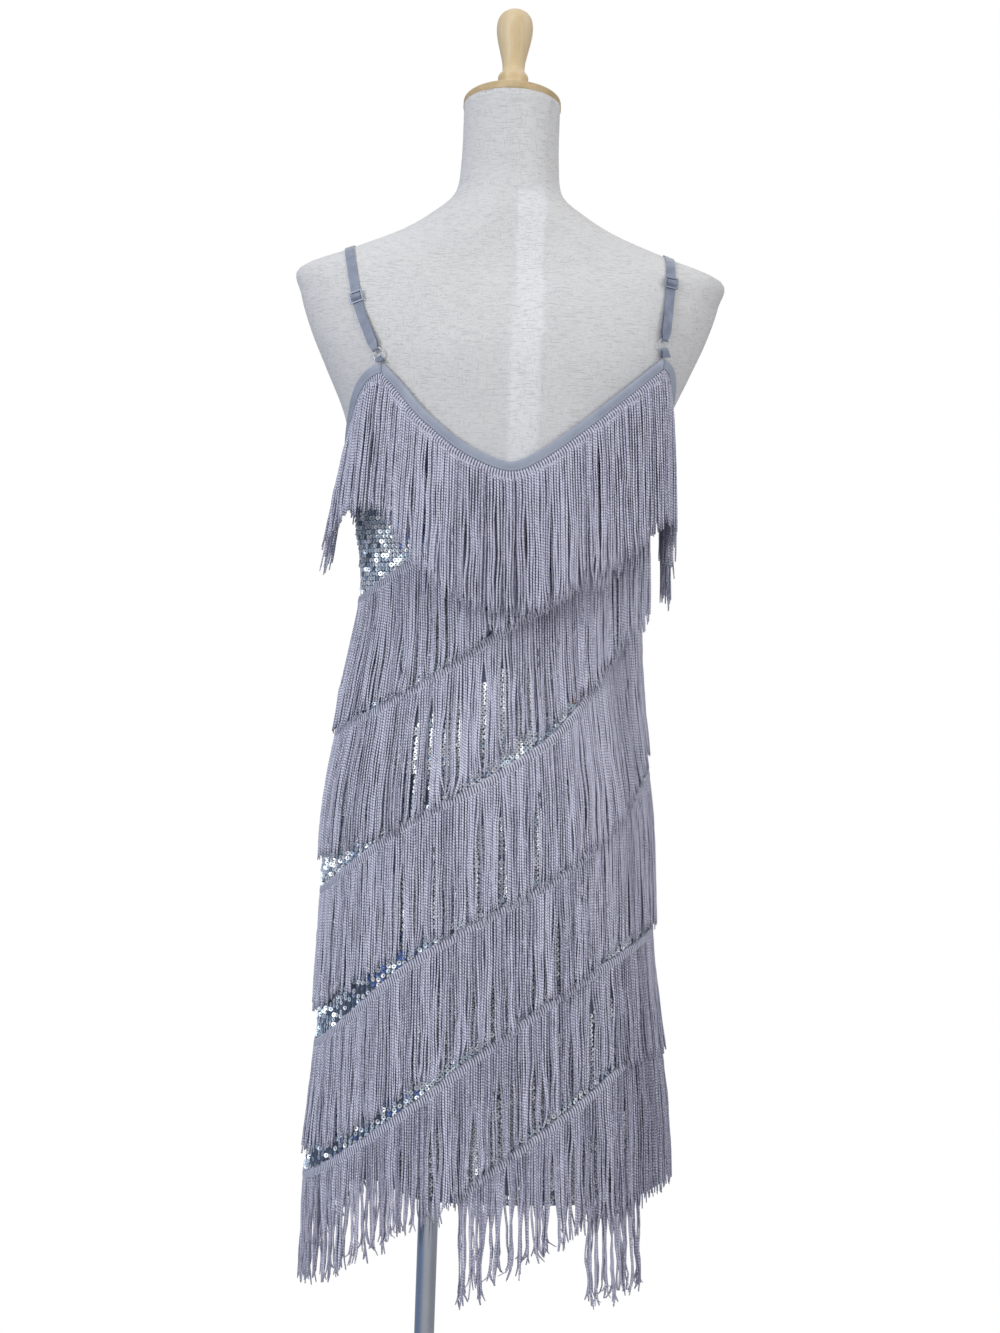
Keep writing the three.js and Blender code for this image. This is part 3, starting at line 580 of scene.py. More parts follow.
def weave_group() -> bpy.types.NodeTree:
    """Build the plain weave shared by the cloths: its height, and its slubs as a mask."""
    numbers = {"Threads": 1000.0, "Unevenness": 0.4}
    tree = new_group("plain_weave", numbers, {"Height": "Float", "Slubs": "Float"})
    source, target = ends_of(tree)
    g = Graph(tree)
    where, threads = source.outputs["Where"], source.outputs["Threads"]
    soft = g.add("TexNoise", Scale=35.0, Detail=2.0, Vector=where)
    pull = g.add("VectorMath", operation="SCALE", Scale=0.0012)
    g.put(soft.outputs["Color"], pull.inputs[0])
    moved = g.add("VectorMath", operation="ADD")
    g.put(where, moved.inputs[0])
    g.put(pull.outputs[0], moved.inputs[1])
    x, y, z = g.add("SeparateXYZ", Vector=moved.outputs[0]).outputs
    warp = g.maths("SINE", g.times(g.plus(x, y), threads))
    weft = g.maths("SINE", g.times(z, threads))
    across = g.noise(g.add("Mapping", Scale=(120.0, 120.0, 1400.0), Vector=where), 1.0, 2)
    upright = g.noise(g.add("Mapping", Scale=(1300.0, 1300.0, 100.0), Vector=where), 1.0, 2)
    slubs = g.maths("MAXIMUM", g.stretch(across, 0.54, 0.7), g.stretch(upright, 0.58, 0.74))
    uneven = g.times(slubs, source.outputs["Unevenness"])
    g.fill(target, Height=g.plus(g.times(g.times(warp, weft), 0.25), uneven), Slubs=slubs)
    return tree


def wear_group() -> bpy.types.NodeTree:
    """Build the soft handling marks shared by wood and metal: a blotchy mask and fine scratches."""
    tree = new_group("handling", {"Size": 30.0}, {"Blotch": "Float", "Scratch": "Float"})
    source, target = ends_of(tree)
    g = Graph(tree)
    where = source.outputs["Where"]
    broad = g.add("TexNoise", Detail=4.0, Vector=where, Scale=source.outputs["Size"])
    thin = g.noise(g.add("Mapping", Scale=(30.0, 30.0, 1400.0), Vector=where), 1.0, 2)
    g.fill(target, Blotch=g.stretch(broad.outputs["Fac"], 0.35, 0.7), Scratch=g.stretch(thin, 0.6, 0.75))
    return tree


class SharedGroups:
    """The node groups that more than one material uses, each built once."""

    made: dict[str, bpy.types.NodeTree] = {}

    @classmethod
    def place(cls, g: Graph, name: str, where: object, **values: float) -> bpy.types.Node:
        """Place a shared group in a material.

        Args:
            g: the material's graph.
            name: weave or wear.
            where: the points that it reads.
            values: numbers for its named inputs.

        Returns:
            The group's node.
        """
        builders = {"weave": weave_group, "wear": wear_group}
        if name not in cls.made:
            cls.made[name] = builders[name]()
        node = g.add("Group", node_tree=cls.made[name])
        g.fill(node, Where=where, **values)
        return node


def shade(colour: Colour, factor: float = 1.0) -> tuple[float, float, float, float]:
    """Turn a display colour, 0 to 255, into a linear one, made lighter or darker."""
    linear = [((c / 255) / 12.92) if c < 10 else ((c / 255 + 0.055) / 1.055) ** 2.4 for c in colour]
    return (linear[0] * factor, linear[1] * factor, linear[2] * factor, 1.0)


def start_material(name: str) -> tuple[bpy.types.Material, Graph, bpy.types.Node]:
    """Start a material that holds one Principled BSDF."""
    material = bpy.data.materials.new(name)
    material.use_nodes = True
    tree = material.node_tree
    surface = next(n for n in tree.nodes if n.type == "BSDF_PRINCIPLED")
    return material, Graph(tree), surface


# ---------------------------------------------------------------- finishes


@dataclass(frozen=True)
class ChainYarn:
    """Soft chain-knit fringe yarn, its loops' hollows in painted shade; each strand's tone is stored on it.
    """

    light: Colour = (236, 237, 255)
    deep: Colour = (90, 90, 118)
    # gap: painted shade, blended into the hollows between the chain's loops
    gap: Colour = (84, 84, 112)
    sheen: Colour = (222, 226, 240)
    stitches_per_metre: float = 380

    def build(self) -> bpy.types.Material:
        """Build the material; the UV map runs round the strand and along it in metres."""
        material, g, surface = start_material("fringe_yarn")
        turn, run = g.uv()
        side = g.times(g.maths("PINGPONG", turn, 0.5), 9.0)
        loops = g.maths("SINE", g.plus(g.times(run, self.stitches_per_metre * math.tau), side))
        where = g.where()
        broad = g.noise(where, 18.0, 3)
        speckle = g.stretch(g.noise(where, 520.0, 2), 0.35, 0.65)
        level = g.plus(g.times(g.stored("tone"), 0.86), g.times(broad, 0.14))
        level = g.plus(level, g.times(speckle, 0.4))
        base = g.blend(level, shade(self.deep), shade(self.light))
        # the loops' hollows are painted darker with the gap colour: painted shade
        knit_with_painted_shade = g.blend(g.stretch(loops, -0.95, 0.15, 0.62, 0), base, shade(self.gap))
        g.fill(surface, Base_Color=knit_with_painted_shade, Normal=g.bump(loops, 0.0005, 0.6), Roughness=0.6,
               Sheen_Weight=0.3, Sheen_Roughness=0.4, Sheen_Tint=shade(self.sheen))
        return material


@dataclass(frozen=True)
class CordedTape:
    """The fringe's heading: fine cords across a narrow band, in painted shade and highlight."""

    # light and deep: the painted highlight on the cords' crests and the painted shade in their grooves
    light: Colour = (210, 212, 229)
    deep: Colour = (58, 58, 84)
    cords_per_metre: float = 375

    def build(self) -> bpy.types.Material:
        """Build the material."""
        material, g, surface = start_material("fringe_heading")
        run, _ = g.uv()
        cords = g.maths("SINE", g.times(run, self.cords_per_metre * math.tau))
        uneven = g.noise(g.where(), 260.0, 2)
        ridge = g.plus(g.times(cords, 0.5), g.times(uneven, 0.4))
        # painted shade in the grooves between cords and painted highlight on their crests, by the cords'
        # height
        colour = g.blend(g.stretch(ridge, -0.3, 0.6), shade(self.deep), shade(self.light))
        g.fill(surface, Base_Color=colour, Normal=g.bump(ridge, 0.0005, 0.7), Roughness=0.6,
               Sheen_Weight=0.2)
        return material


@dataclass(frozen=True)
class SequinFoil:
    """Foil sequins: silver, ice blue and slate, a few cobalt or amber as painted glints, each with a darker
    rim.
    """

    rim: Colour = (60, 70, 88)

    STOPS = (
        (0.0, (92, 106, 128)),
        (0.12, (160, 176, 198)),
        (0.28, (200, 217, 233)),
        (0.5, (226, 238, 247)),
        (0.74, (248, 251, 254)),
        # the cobalt and amber foils are painted coloured glints
        (0.95, (92, 120, 188)),
        (0.988, (222, 158, 96)),
    )

    def build(self) -> bpy.types.Material:
        """Build the material; tone picks the foil and the UV map's first number runs to the rim."""
        material, g, surface = start_material("sequin_foil")
        ramp = g.add("ValToRGB", Fac=g.stored("tone"))
        ramp.color_ramp.interpolation = "CONSTANT"
        elements = ramp.color_ramp.elements
        while len(elements) < len(self.STOPS):
            elements.new(1.0)
        for element, (place, colour) in zip(elements, self.STOPS, strict=True):
            element.position = place
            element.color = shade(colour)
        radial, _ = g.uv()
        rim = g.stretch(radial, 0.8, 0.97)
        hole = g.stretch(radial, 0.42, 0.3)
        edge = g.times(g.maths("MAXIMUM", rim, hole), 0.6)
        where = g.where()
        g.fill(
            surface,
            Base_Color=g.blend(edge, ramp.outputs["Color"], shade(self.rim)),
            Roughness=g.stretch(g.noise(where, 420.0, 2), 0.3, 0.7, 0.24, 0.5),
            Normal=g.bump(g.noise(where, 900.0, 2), 0.0002, 0.25),
            Metallic=0.35,
        )
        return material


@dataclass(frozen=True)
class WovenCloth:
    """A woven cloth, with slubs."""

    name: str
    light: Colour
    deep: Colour
    slub: Colour
    threads: float
    unevenness: float
    roughness: float
    sheen: float
    depth: float
    layer: Colour | None = None

    def build(self) -> bpy.types.Material:
        """Build the material; where it is layered, the colour of the upper layer shows."""
        material, g, surface = start_material(self.name)
        where = g.where()
        weave = SharedGroups.place(g, "weave", where, Threads=self.threads, Unevenness=self.unevenness)
        broad = g.stretch(g.noise(where, 7.0, 4), 0.3, 0.7)
        base = g.blend(broad, shade(self.deep), shade(self.light))
        if self.layer:
            base = g.blend(g.times(g.stored("layered"), 0.48), base, shade(self.layer))
        slubbed = g.blend(g.times(weave.outputs["Slubs"], 0.62), base, shade(self.slub))
        flecks = g.stretch(g.noise(where, 300.0, 2), 0.71, 0.76)
        flecked = g.blend(g.times(flecks, 0.45), slubbed, shade(self.slub, 0.6))
        g.fill(surface, Base_Color=flecked, Normal=g.bump(weave.outputs["Height"], self.depth, 0.6),
               Roughness=self.roughness, Sheen_Weight=self.sheen)
        return material


@dataclass(frozen=True)
class StitchedSatin:
    """Folded satin binding with a line of small stitches along it."""

    light: Colour = (165, 173, 189)
    deep: Colour = (148, 156, 173)
    thread: Colour = (178, 186, 200)
    stitch: float = 2.4
    line_in: float = 1.7
    ribs: float = 9000

    def build(self) -> bpy.types.Material:
        """Build the material; the UV map runs in metres along and across the strip."""
        material, g, surface = start_material("satin_binding")
        run, across = g.uv()
        along = g.maths("FRACT", g.maths("DIVIDE", run, self.stitch * MM))
        dash = g.stretch(g.maths("ABSOLUTE", g.maths("SUBTRACT", along, 0.5)), 0.3, 0.36, 1, 0)
        off = g.maths("ABSOLUTE", g.maths("SUBTRACT", across, self.line_in * MM))
        line = g.times(dash, g.stretch(off, 0.00025, 0.0004, 1, 0))
        ribbing = g.maths("SINE", g.times(run, self.ribs))
        broad = g.stretch(g.noise(g.where(), 45.0, 3), 0.3, 0.7)
        base = g.blend(broad, shade(self.deep), shade(self.light))
        ridges = g.plus(g.times(ribbing, 0.15), line)
        stitched = g.blend(line, base, shade(self.thread))
        g.fill(surface, Base_Color=stitched, Normal=g.bump(ridges, 0.0004, 0.5), Roughness=0.42,
               Sheen_Weight=0.2, Anisotropic=0.3)
        return material


@dataclass(frozen=True)
class StrapSatin:
    """Narrow satin strap tape, read in object space."""

    light: Colour = (148, 157, 175)
    deep: Colour = (112, 121, 141)

    def build(self) -> bpy.types.Material:
        """Build the material."""
        material, g, surface = start_material("strap_satin")
        where = g.where()
        weave = SharedGroups.place(g, "weave", where, Threads=6500.0, Unevenness=0.3)
        broad = g.stretch(g.noise(where, 60.0, 3), 0.3, 0.7)
        base = g.blend(broad, shade(self.deep), shade(self.light))
        g.fill(surface, Base_Color=base, Normal=g.bump(weave.outputs["Height"], 0.0003, 0.4), Roughness=0.4,
               Sheen_Weight=0.2)
        return material


@dataclass(frozen=True)
class PaleWood:
    """Oiled pale wood with fine grain along one axis."""

    name: str
    light: Colour
    deep: Colour
    grain: tuple[float, float, float]

    def build(self) -> bpy.types.Material:
        """Build the material."""
        material, g, surface = start_material(self.name)
        where = g.where()
        run = g.add("Mapping", Scale=self.grain, Vector=where)
        lines = g.noise(run, 1.0, 5, 0.62)
        pores = g.stretch(g.noise(run, 3.2, 3), 0.62, 0.75)
        blotch = SharedGroups.place(g, "wear", where, Size=38.0).outputs["Blotch"]
        base = g.blend(g.stretch(lines, 0.32, 0.68), shade(self.deep), shade(self.light))
        handled = g.blend(g.times(blotch, 0.25), base, shade(self.deep, 0.9))
        g.fill(
            surface,
            Base_Color=g.blend(g.times(pores, 0.35), handled, shade(self.deep, 0.6)),
            Normal=g.bump(lines, 0.0004, 0.35),
            Roughness=g.stretch(blotch, 0, 1, 0.42, 0.58),
            Coat_Weight=0.15,
            Coat_Roughness=0.3,
        )
        return material


@dataclass(frozen=True)
class PolishedMetal:
    """Plated metal, with light handling marks."""

    name: str
    colour: Colour
    roughness: float

    def build(self) -> bpy.types.Material:
        """Build the material."""
        material, g, surface = start_material(self.name)
        wear = SharedGroups.place(g, "wear", g.where(), Size=24.0)
        blotch, scratch = wear.outputs["Blotch"], wear.outputs["Scratch"]
        dull = g.blend(g.times(blotch, 0.3), shade(self.colour), shade(self.colour, 0.75))
        rough = g.plus(g.times(scratch, 0.12), self.roughness)
        g.fill(surface, Base_Color=dull, Roughness=rough, Normal=g.bump(scratch, 0.00005, 0.15),
               Metallic=1.0)
        return material


@dataclass(frozen=True)
class ClearPlastic:
    """Clear moulded plastic of the small rings."""

    light: Colour = (250, 252, 255)
    deep: Colour = (226, 232, 238)

    def build(self) -> bpy.types.Material:
        """Build the material."""
        material, g, surface = start_material("clear_plastic")
        haze = g.noise(g.where(), 900.0, 2)
        colour = g.blend(haze, shade(self.deep), shade(self.light))
        g.fill(surface, Base_Color=colour, Roughness=g.stretch(haze, 0.3, 0.7, 0.06, 0.2),
               Transmission_Weight=0.7, IOR=1.46)
        return material


class Finishes:
    """Every material of the dress and its form, built once."""

    def __init__(self) -> None:
        """Build the materials."""
        self.yarn = ChainYarn().build()
        self.heading = CordedTape().build()
        self.foil = SequinFoil().build()
        self.ground = WovenCloth(
            "sequin_ground", light=(116, 124, 146), deep=(92, 99, 121), slub=(140, 147, 166), threads=5200.0,
            unevenness=0.3, roughness=0.6, sheen=0.3, depth=0.0003,
        ).build()
        self.linen = WovenCloth(
            "form_linen", light=(227, 227, 226), deep=(216, 216, 215), slub=(186, 186, 186), threads=3600.0,
            unevenness=0.8, roughness=0.9, sheen=0.1, depth=0.0004, layer=(244, 246, 249),
        ).build()
        self.binding = StitchedSatin().build()
        self.strap = StrapSatin().build()
        self.knob_wood = PaleWood("knob_wood", (234, 214, 174), (214, 190, 144), (90.0, 90.0, 9.0)).build()
        self.cap_wood = PaleWood("cap_wood", (212, 190, 148), (186, 158, 112), (60.0, 9.0, 60.0)).build()
        self.chrome = PolishedMetal("stand_chrome", (196, 202, 212), 0.1).build()
        self.steel = PolishedMetal("plate_steel", (200, 203, 208), 0.32).build()
        self.slider = PolishedMetal("slider_metal", (150, 159, 176), 0.34).build()
        self.clear = ClearPlastic().build()


# ---------------------------------------------------------------- fringe


@dataclass(frozen=True)
class Tier:
    """One tier of fringe: the heights of its tape and its strands' lengths, evenly across the body."""

    name: str
    heights: Table
    lengths: Table
    start: float = -SEAM
    end: float = SEAM
    front_rise: float = 0
    front_short: float = 0
    has_front: bool = True
    flare_left: float = 0.01
    flare_right: float = 0.01
    end_in: float = 3.4
    end_out: float = 5.0
    ragged_sides: float = 0
    parted: float = 1
    # tone: the strands' mean tone, set lower on the low tiers as painted shade
    tone: float = 0.7
    bend: float = 1
    lap: float = 0
    stations: int = 131

    def read(self, table: Table, place: np.ndarray) -> np.ndarray:
        """Read one of the tables at a place from -1 to 1 across the body."""
        return smooth_curve(place, np.linspace(-1, 1, len(table)), np.array(table, float))

    def top(self, degrees: np.ndarray) -> np.ndarray:
        """Find the height of the tape's upper edge at angles."""
        z = np.full_like(np.asarray(degrees, float), self.heights[len(self.heights) // 2])
        for _ in range(12):
            z = self.read(self.heights, DRESS.place_across(degrees, z))
        rise = self.front_rise * (1 - DRESS.place_across(degrees, z) ** 2)
        return np.where(EDGE.back_angle(degrees) != degrees, z + rise, z)

    def hang(self, degrees: np.ndarray, fall: np.ndarray, out: np.ndarray) -> tuple[np.ndarray, np.ndarray]:
        """Find points of strands below the tape, which slide on the body as they fall.

        Args:
            degrees: the strands' angles at the tape.
            fall: how far each point is below the tape.
            out: how far it stands off the cloth.

        Returns:
            The points and the level directions that point away from the body there.
        """
        top = self.top(degrees)
        head = DRESS.point(degrees, top)
        z = top - fall
        turned_to = degrees + np.zeros_like(z)
        for _ in range(3):
            below = DRESS.point(turned_to, z)
            normal = DRESS.out(turned_to, z)
            tangent = around(normal)
            slip = ((below - head) * tangent).sum(-1) - PLUMB_LEAN * fall * tangent[..., 0]
            degree = DRESS.point(turned_to + 0.5, z) - DRESS.point(turned_to - 0.5, z)
            turned_to = turned_to - slip / np.linalg.norm(degree, axis=-1)
        below = DRESS.point(turned_to, z)
        normal = DRESS.out(turned_to, z)
        across = (DRESS.place_across(degrees, top) + 1) / 2
        flare = self.flare_left + (self.flare_right - self.flare_left) * across
        plumb = ((head - below) * normal).sum(-1) + flare * fall
        return below + normal * (np.maximum(plumb, 0) + out)[..., None], normal

    def drop(self, degrees: np.ndarray) -> np.ndarray:
        """Find the strands' length at angles."""
        return self.read(self.lengths, DRESS.place_across(degrees, self.top(degrees)))

    def angles(self, half: Half, count: int) -> np.ndarray:
        """Spread angles over the tape of one half of the dress."""
        low, high = (self.start, self.end)
        if half is Half.FRONT:
            low, high = 180 - high, 180 - low
        return np.linspace(low, high, count)


@dataclass(frozen=True)
class NeckTier(Tier):
    """The tier that follows the neck and armholes."""

    below: float = 8.3

    def top(self, degrees: np.ndarray) -> np.ndarray:
        """Find the height of the tape's upper edge at angles."""
        return EDGE.height(degrees) - self.below * EDGE.steepness(degrees)


# The lower tones of tiers e to h are painted shade, darker lower on the dress.
TIERS = (
    NeckTier("a", (0,), (104, 118, 129, 134, 131, 130, 138, 142, 126), front_short=44, flare_left=0.09,
             flare_right=0.0, end_in=6.4, end_out=8.6, bend=0.5, ragged_sides=11, lap=1.5),
    Tier("b", (1017, 1064, 1109, 1150, 1180), (126, 127, 124, 123, 123, 122, 122, 122, 122), end=60,
         tone=0.82),
    Tier("c", (892, 938, 990, 1042, 1170), (121, 131, 130, 127, 123, 117, 118, 134, 138), end=70,
         front_rise=15),
    Tier("d", (743, 812, 857, 914, 1022), (115, 119, 122, 128, 126, 130, 134, 146, 142), front_rise=30,
         flare_right=0.02),
    Tier("e", (599, 681, 733, 782, 864), (105, 116, 119, 120, 119, 113, 115, 120, 143), front_rise=45,
         flare_right=0.035, tone=0.59, ragged_sides=3, parted=1.35),
    Tier("f", (476, 548, 616, 673, 718), (104, 112, 113, 123, 116, 112, 108, 104, 120), front_rise=60,
         flare_right=0.03, tone=0.46, ragged_sides=3, parted=1.5),
    Tier("g", (359, 431, 504, 567, 632), (98, 98, 101, 104, 108, 114, 122, 138, 148), start=-12,
         front_rise=60, flare_right=0.03, tone=0.4, parted=1.5),
    Tier("h", (440, 450, 460, 476, 494), (98, 98, 98), start=40.5, end=61.5, has_front=False, tone=0.45,
         stations=25),
)


@dataclass(frozen=True)
class Parting:
    """A place where the strands of a tier on the back part and let the sequins show."""

    tier: str
    x: float
    half_gap: float
    start: float
    end: float


PARTINGS = (
    Parting("a", -72, 1.0, 0.4, 0.9),
    Parting("a", -84, 1.3, 0.62, 1.2),
    Parting("b", -76, 1.1, 0.45, 1.0),
    Parting("b", -52, 1.0, 0.1, 0.9),
    Parting("b", -104, 0.8, 0.3, 0.8),
    Parting("c", -71, 2.5, 0.1, 0.95),
    Parting("c", -59, 2.6, 0.15, 1.05),
    Parting("c", -47, 2.0, 0.3, 0.8),
    Parting("c", -16, 2.2, 0.15, 0.8),
    Parting("c", 2, 1.9, 0.2, 0.85),
    Parting("c", 24, 1.5, 0.35, 0.9),
    Parting("c", 102, 1.6, 0.1, 0.8),
    Parting("c", -36, 1.6, 0.3, 0.8),
    Parting("c", -127, 1.3, 0.45, 1.1),
    Parting("d", -142, 1.8, 0.1, 1.0),
    Parting("d", -81, 1.2, 0.3, 1.0),
    Parting("d", -15, 1.7, 0.2, 0.9),
    Parting("d", 4, 1.8, 0.15, 0.9),
    Parting("d", 33, 1.5, 0.3, 0.9),
    Parting("d", 70, 1.0, 0.1, 0.7),
    Parting("e", -149, 1.8, 0.45, 1.1),
    Parting("e", -133, 1.2, 0.45, 1.1),
    Parting("e", 58, 1.9, 0.3, 1.0),
    Parting("e", -38, 1.0, 0.6, 1.1),
    Parting("f", -48, 2.1, 0.3, 1.0),
    Parting("f", 10, 2.2, 0.3, 1.1),
    Parting("f", -12, 1.9, 0.4, 1.1),
    Parting("f", 41, 2.1, 0.4, 1.1),
    Parting("f", 92, 1.8, 0.2, 1.0),
    Parting("g", 22, 1.7, 0.1, 0.7),
    Parting("g", 60, 1.9, 0.15, 0.9),
    Parting("g", 79, 1.6, 0.2, 0.8),
    Parting("g", 98, 1.8, 0.2, 0.9),
)


def fine_partings(tier: Tier) -> list[Parting]:
    """Scatter narrow partings over a tier."""
    rng = np.random.default_rng(300 + ord(tier.name))
    made = []
    for x in np.arange(-150.0, 151.0, 13.0):
        start = rng.uniform(0.05, 0.6)
        end = start + rng.uniform(0.2, 0.6)
        half_gap = rng.uniform(0.4, 1.15) * tier.parted
        made.append(Parting(tier.name, x + rng.uniform(-6, 6), half_gap, start, end))
    return made


ALL_PARTINGS = {t.name: [*(p for p in PARTINGS if p.tier == t.name), *fine_partings(t)] for t in TIERS}


@dataclass
class Layer:
    """One layer of a tier's strands: where each strand starts and how the strands cluster."""

    outer: bool
    angle: np.ndarray
    distance: np.ndarray
    number: np.ndarray
    middle: np.ndarray
    at_side: np.ndarray
    share: np.ndarray

    @property
    def count(self) -> int:
        """Count the strands."""
        return len(self.angle)

    @property
    def groups(self) -> int:
        """Count the clusters."""
        return self.number.max() + 1


@dataclass
class Strands:
    """The chain-knit strands of one tier on one half of the dress."""

    tier: Tier
    half: Half
    pitch: float = 2.9
    inner_pitch: float = 3.3
    width: float = 2.35
    thickness: float = 1.6
    stops: int = 14
    head_in: float = 1.3
    head_out: float = 2.3
    held: float = 7
    inner_short: float = 6
    uneven_clusters: float = 2.2
    uneven_strands: float = 2.6
    most_short: float = 9
    most_long: float = 6
    side_from: float = 0.78
    side_to: float = 0.97
    drawn_share: float = 0.22
    curl_from: float = 0.86
    taper_from: float = 0.95
    loose_over: float = 55
    # dark_below and bare_below set where the tones' painted shade falls on the low tiers
    dark_below: float = 260
    bare_below: float = 110
    parting_spread: float = 7
    parting_open: float = 0.25
    parting_close: float = 0.2
    seed: int = 0
    rng: np.random.Generator = field(init=False)

    def __post_init__(self) -> None:
        """Seed the strands' own random numbers."""
        self.rng = np.random.default_rng(100 + self.seed)

    def along_tape(self, pitch: float) -> tuple[np.ndarray, np.ndarray]:
        """Space the strands evenly along the tape.

        Args:
            pitch: the distance from strand to strand.

        Returns:
            The strands' angles and their level distances round the body.
        """
        fine = self.tier.angles(self.half, 361)
        points = DRESS.point(fine, self.tier.top(fine))
        length = run_along(points)
        level = run_along(points[:, :2])
        count = max(4, int(length[-1] / pitch))
        at = (np.arange(count) + 0.5) / count * length[-1]
        at = at + self.rng.normal(0, 0.2, count)
        return np.interp(at, length, fine), np.interp(at, length, level)

    def clusters(self, distance: np.ndarray, low: int, high: int) -> tuple[np.ndarray, np.ndarray]:
        """Gather neighbouring strands.

        Args:
            distance: the strands' distances round the body.
            low: the fewest strands in a cluster.
            high: the most.

        Returns:
            Each strand's cluster number and the distance of its cluster's middle.
        """
        number = np.empty(len(distance), int)
        i = k = 0
        while i < len(distance):
            size = self.rng.integers(low, high + 1)
            number[i:i + size] = k
            i += size
            k += 1
        total = np.bincount(number, distance)
        return number, (total / np.bincount(number))[number]

    def waves(self, rows: int, share: np.ndarray, knots: int) -> np.ndarray:
        """Draw smooth uneven waves down strands, still at the tape."""
        heights = self.rng.normal(0, 1, (rows, knots))
        heights[:, 0] = 0
        place = share[0] * (knots - 1)
        i = np.minimum(place.astype(int), knots - 2)
        rise = ease(place - i)
        return heights[:, i] * (1 - rise) + heights[:, i + 1] * rise

    def partings(self, x: np.ndarray, share: np.ndarray) -> np.ndarray:
        """Find how far each point moves aside for the tier's partings."""
        aside = np.zeros((len(x), share.shape[1]))
        if self.half is Half.FRONT:
            return aside
        for parting in ALL_PARTINGS[self.tier.name]:
            away = (x - parting.x)[:, None]
            open_share = smoothstep(share, parting.start, parting.start + self.parting_open)
            open_share = open_share * (1 - smoothstep(share, parting.end, parting.end + self.parting_close))
            near = np.exp(-((away / self.parting_spread) ** 2))
            aside += np.sign(away) * parting.half_gap * near * open_share
        return aside

    def start_layer(self, outer: bool) -> Layer:
        """Set out the strands of one layer along the tape, in clusters of two to four."""
        angle, distance = self.along_tape(self.pitch if outer else self.inner_pitch)
        number, middle = self.clusters(distance, 2, 4)
        place = np.abs(DRESS.place_across(angle, self.tier.top(angle)))
        at_side = smoothstep(place, self.side_from, self.side_to)
        share = np.linspace(0, 1, self.stops)[None, :]
        return Layer(outer, angle, distance, number, middle, at_side, share)

    def lengths(self, layer: Layer) -> np.ndarray:
        """Cut a layer's strands to uneven lengths, shorter at the sides of a tier that is ragged there."""
        rng = self.rng
        ragged = rng.normal(0, self.uneven_clusters, layer.groups)[layer.number]
        ragged = ragged + rng.normal(0, self.uneven_strands, layer.count)
        length = self.tier.drop(layer.angle) + np.clip(ragged, -self.most_short, self.most_long)
        length = length - (0 if layer.outer else self.inner_short)
        if self.half is Half.FRONT:
            length = length - self.tier.front_short * layer.at_side
        return length - np.abs(rng.normal(0, 1, layer.count)) * layer.at_side * self.tier.ragged_sides

    def stand_off(self, layer: Layer, length: np.ndarray, fall: np.ndarray) -> np.ndarray:
        """Find how far off the cloth each point of a layer hangs."""
        rng = self.rng
        lift = rng.uniform(-0.5, 0.5, layer.count)[:, None]
        lift = lift + (rng.uniform(-0.3, 0.5, layer.count) * layer.at_side * self.tier.ragged_sides)[:, None]
        head = self.head_out if layer.outer else self.head_in
        foot = (self.tier.end_out if layer.outer else self.tier.end_in) + lift * 1.2
        free = np.clip((fall - self.held) / (length[:, None] - self.held), 0, 1)
        return head + (foot - head) * free**self.tier.bend

    def sway(self, layer: Layer, loose: np.ndarray) -> tuple[np.ndarray, np.ndarray]:
        """Find how far each point of a layer moves aside and outwards.

        Args:
            layer: the strands, whose tips are drawn together in some clusters.
            loose: how far each point hangs free below the hem, from 0 to 1.

        Returns:
            The moves aside and the moves outwards.
        """
        rng, share, number, groups = self.rng, layer.share, layer.number, layer.groups
        is_drawn = rng.uniform(0, 1, groups) < self.drawn_share
        drawn = np.where(is_drawn, rng.uniform(0.15, 0.4, groups), rng.uniform(0, 0.1, groups))
        pull = (drawn * self.tier.parted)[number][:, None] * share**1.5
        gathered = rng.uniform(0.5, 0.85, groups)[number][:, None]
        pull = pull + (gathered - pull) * np.minimum(loose * 2.2, 1)
        beside = (layer.distance - layer.middle)[:, None]
        wind = (rng.normal(0, 1.6, groups)[number])[:, None] * loose**1.5
        aside = beside * ((1 - pull) * np.cos(wind) - 1)
        aside = aside + self.waves(groups, share, 6)[number] * (0.24 + 0.34 * share)
        aside = aside + rng.normal(0, 2.2, groups)[number][:, None] * loose**1.4
        aside = aside + self.waves(layer.count, share, 8) * (0.16 + 0.55 * loose)
        x = DRESS.point(layer.angle, self.tier.top(layer.angle))[:, 0]
        aside = aside + self.partings(x, share + np.zeros_like(loose))
        puff = beside * (1 - pull) * np.sin(wind) * 0.7
        puff = puff + self.waves(layer.count, share, 7) * (0.25 + 0.4 * loose)
        return aside, puff

    def section(self, layer: Layer, points: np.ndarray, normal: np.ndarray) -> np.ndarray:
        """Give each strand of a layer its flat, slightly twisted four-sided section."""
        rng, share, count = self.rng, layer.share, layer.count
        tangent = around(normal)
        twist = rng.uniform(-0.5, 0.5, (count, 1)) + self.waves(count, share, 5) * 0.9
        flat = np.cos(twist)[..., None] * tangent + np.sin(twist)[..., None] * normal
        deep = np.cos(twist)[..., None] * normal - np.sin(twist)[..., None] * tangent
        swell = 1 + self.waves(count, share, self.stops) * 0.07
        taper = np.clip((share - self.taper_from) / (1 - self.taper_from), 0, 1)
        swell = (swell * (1 - 0.35 * taper))[..., None]
        wide = flat * swell * self.width / 2 * rng.uniform(0.84, 1.08, (count, 1, 1))
        thick = deep * swell * self.thickness / 2
        return np.stack([points + wide, points + thick, points - wide, points - thick], 2)

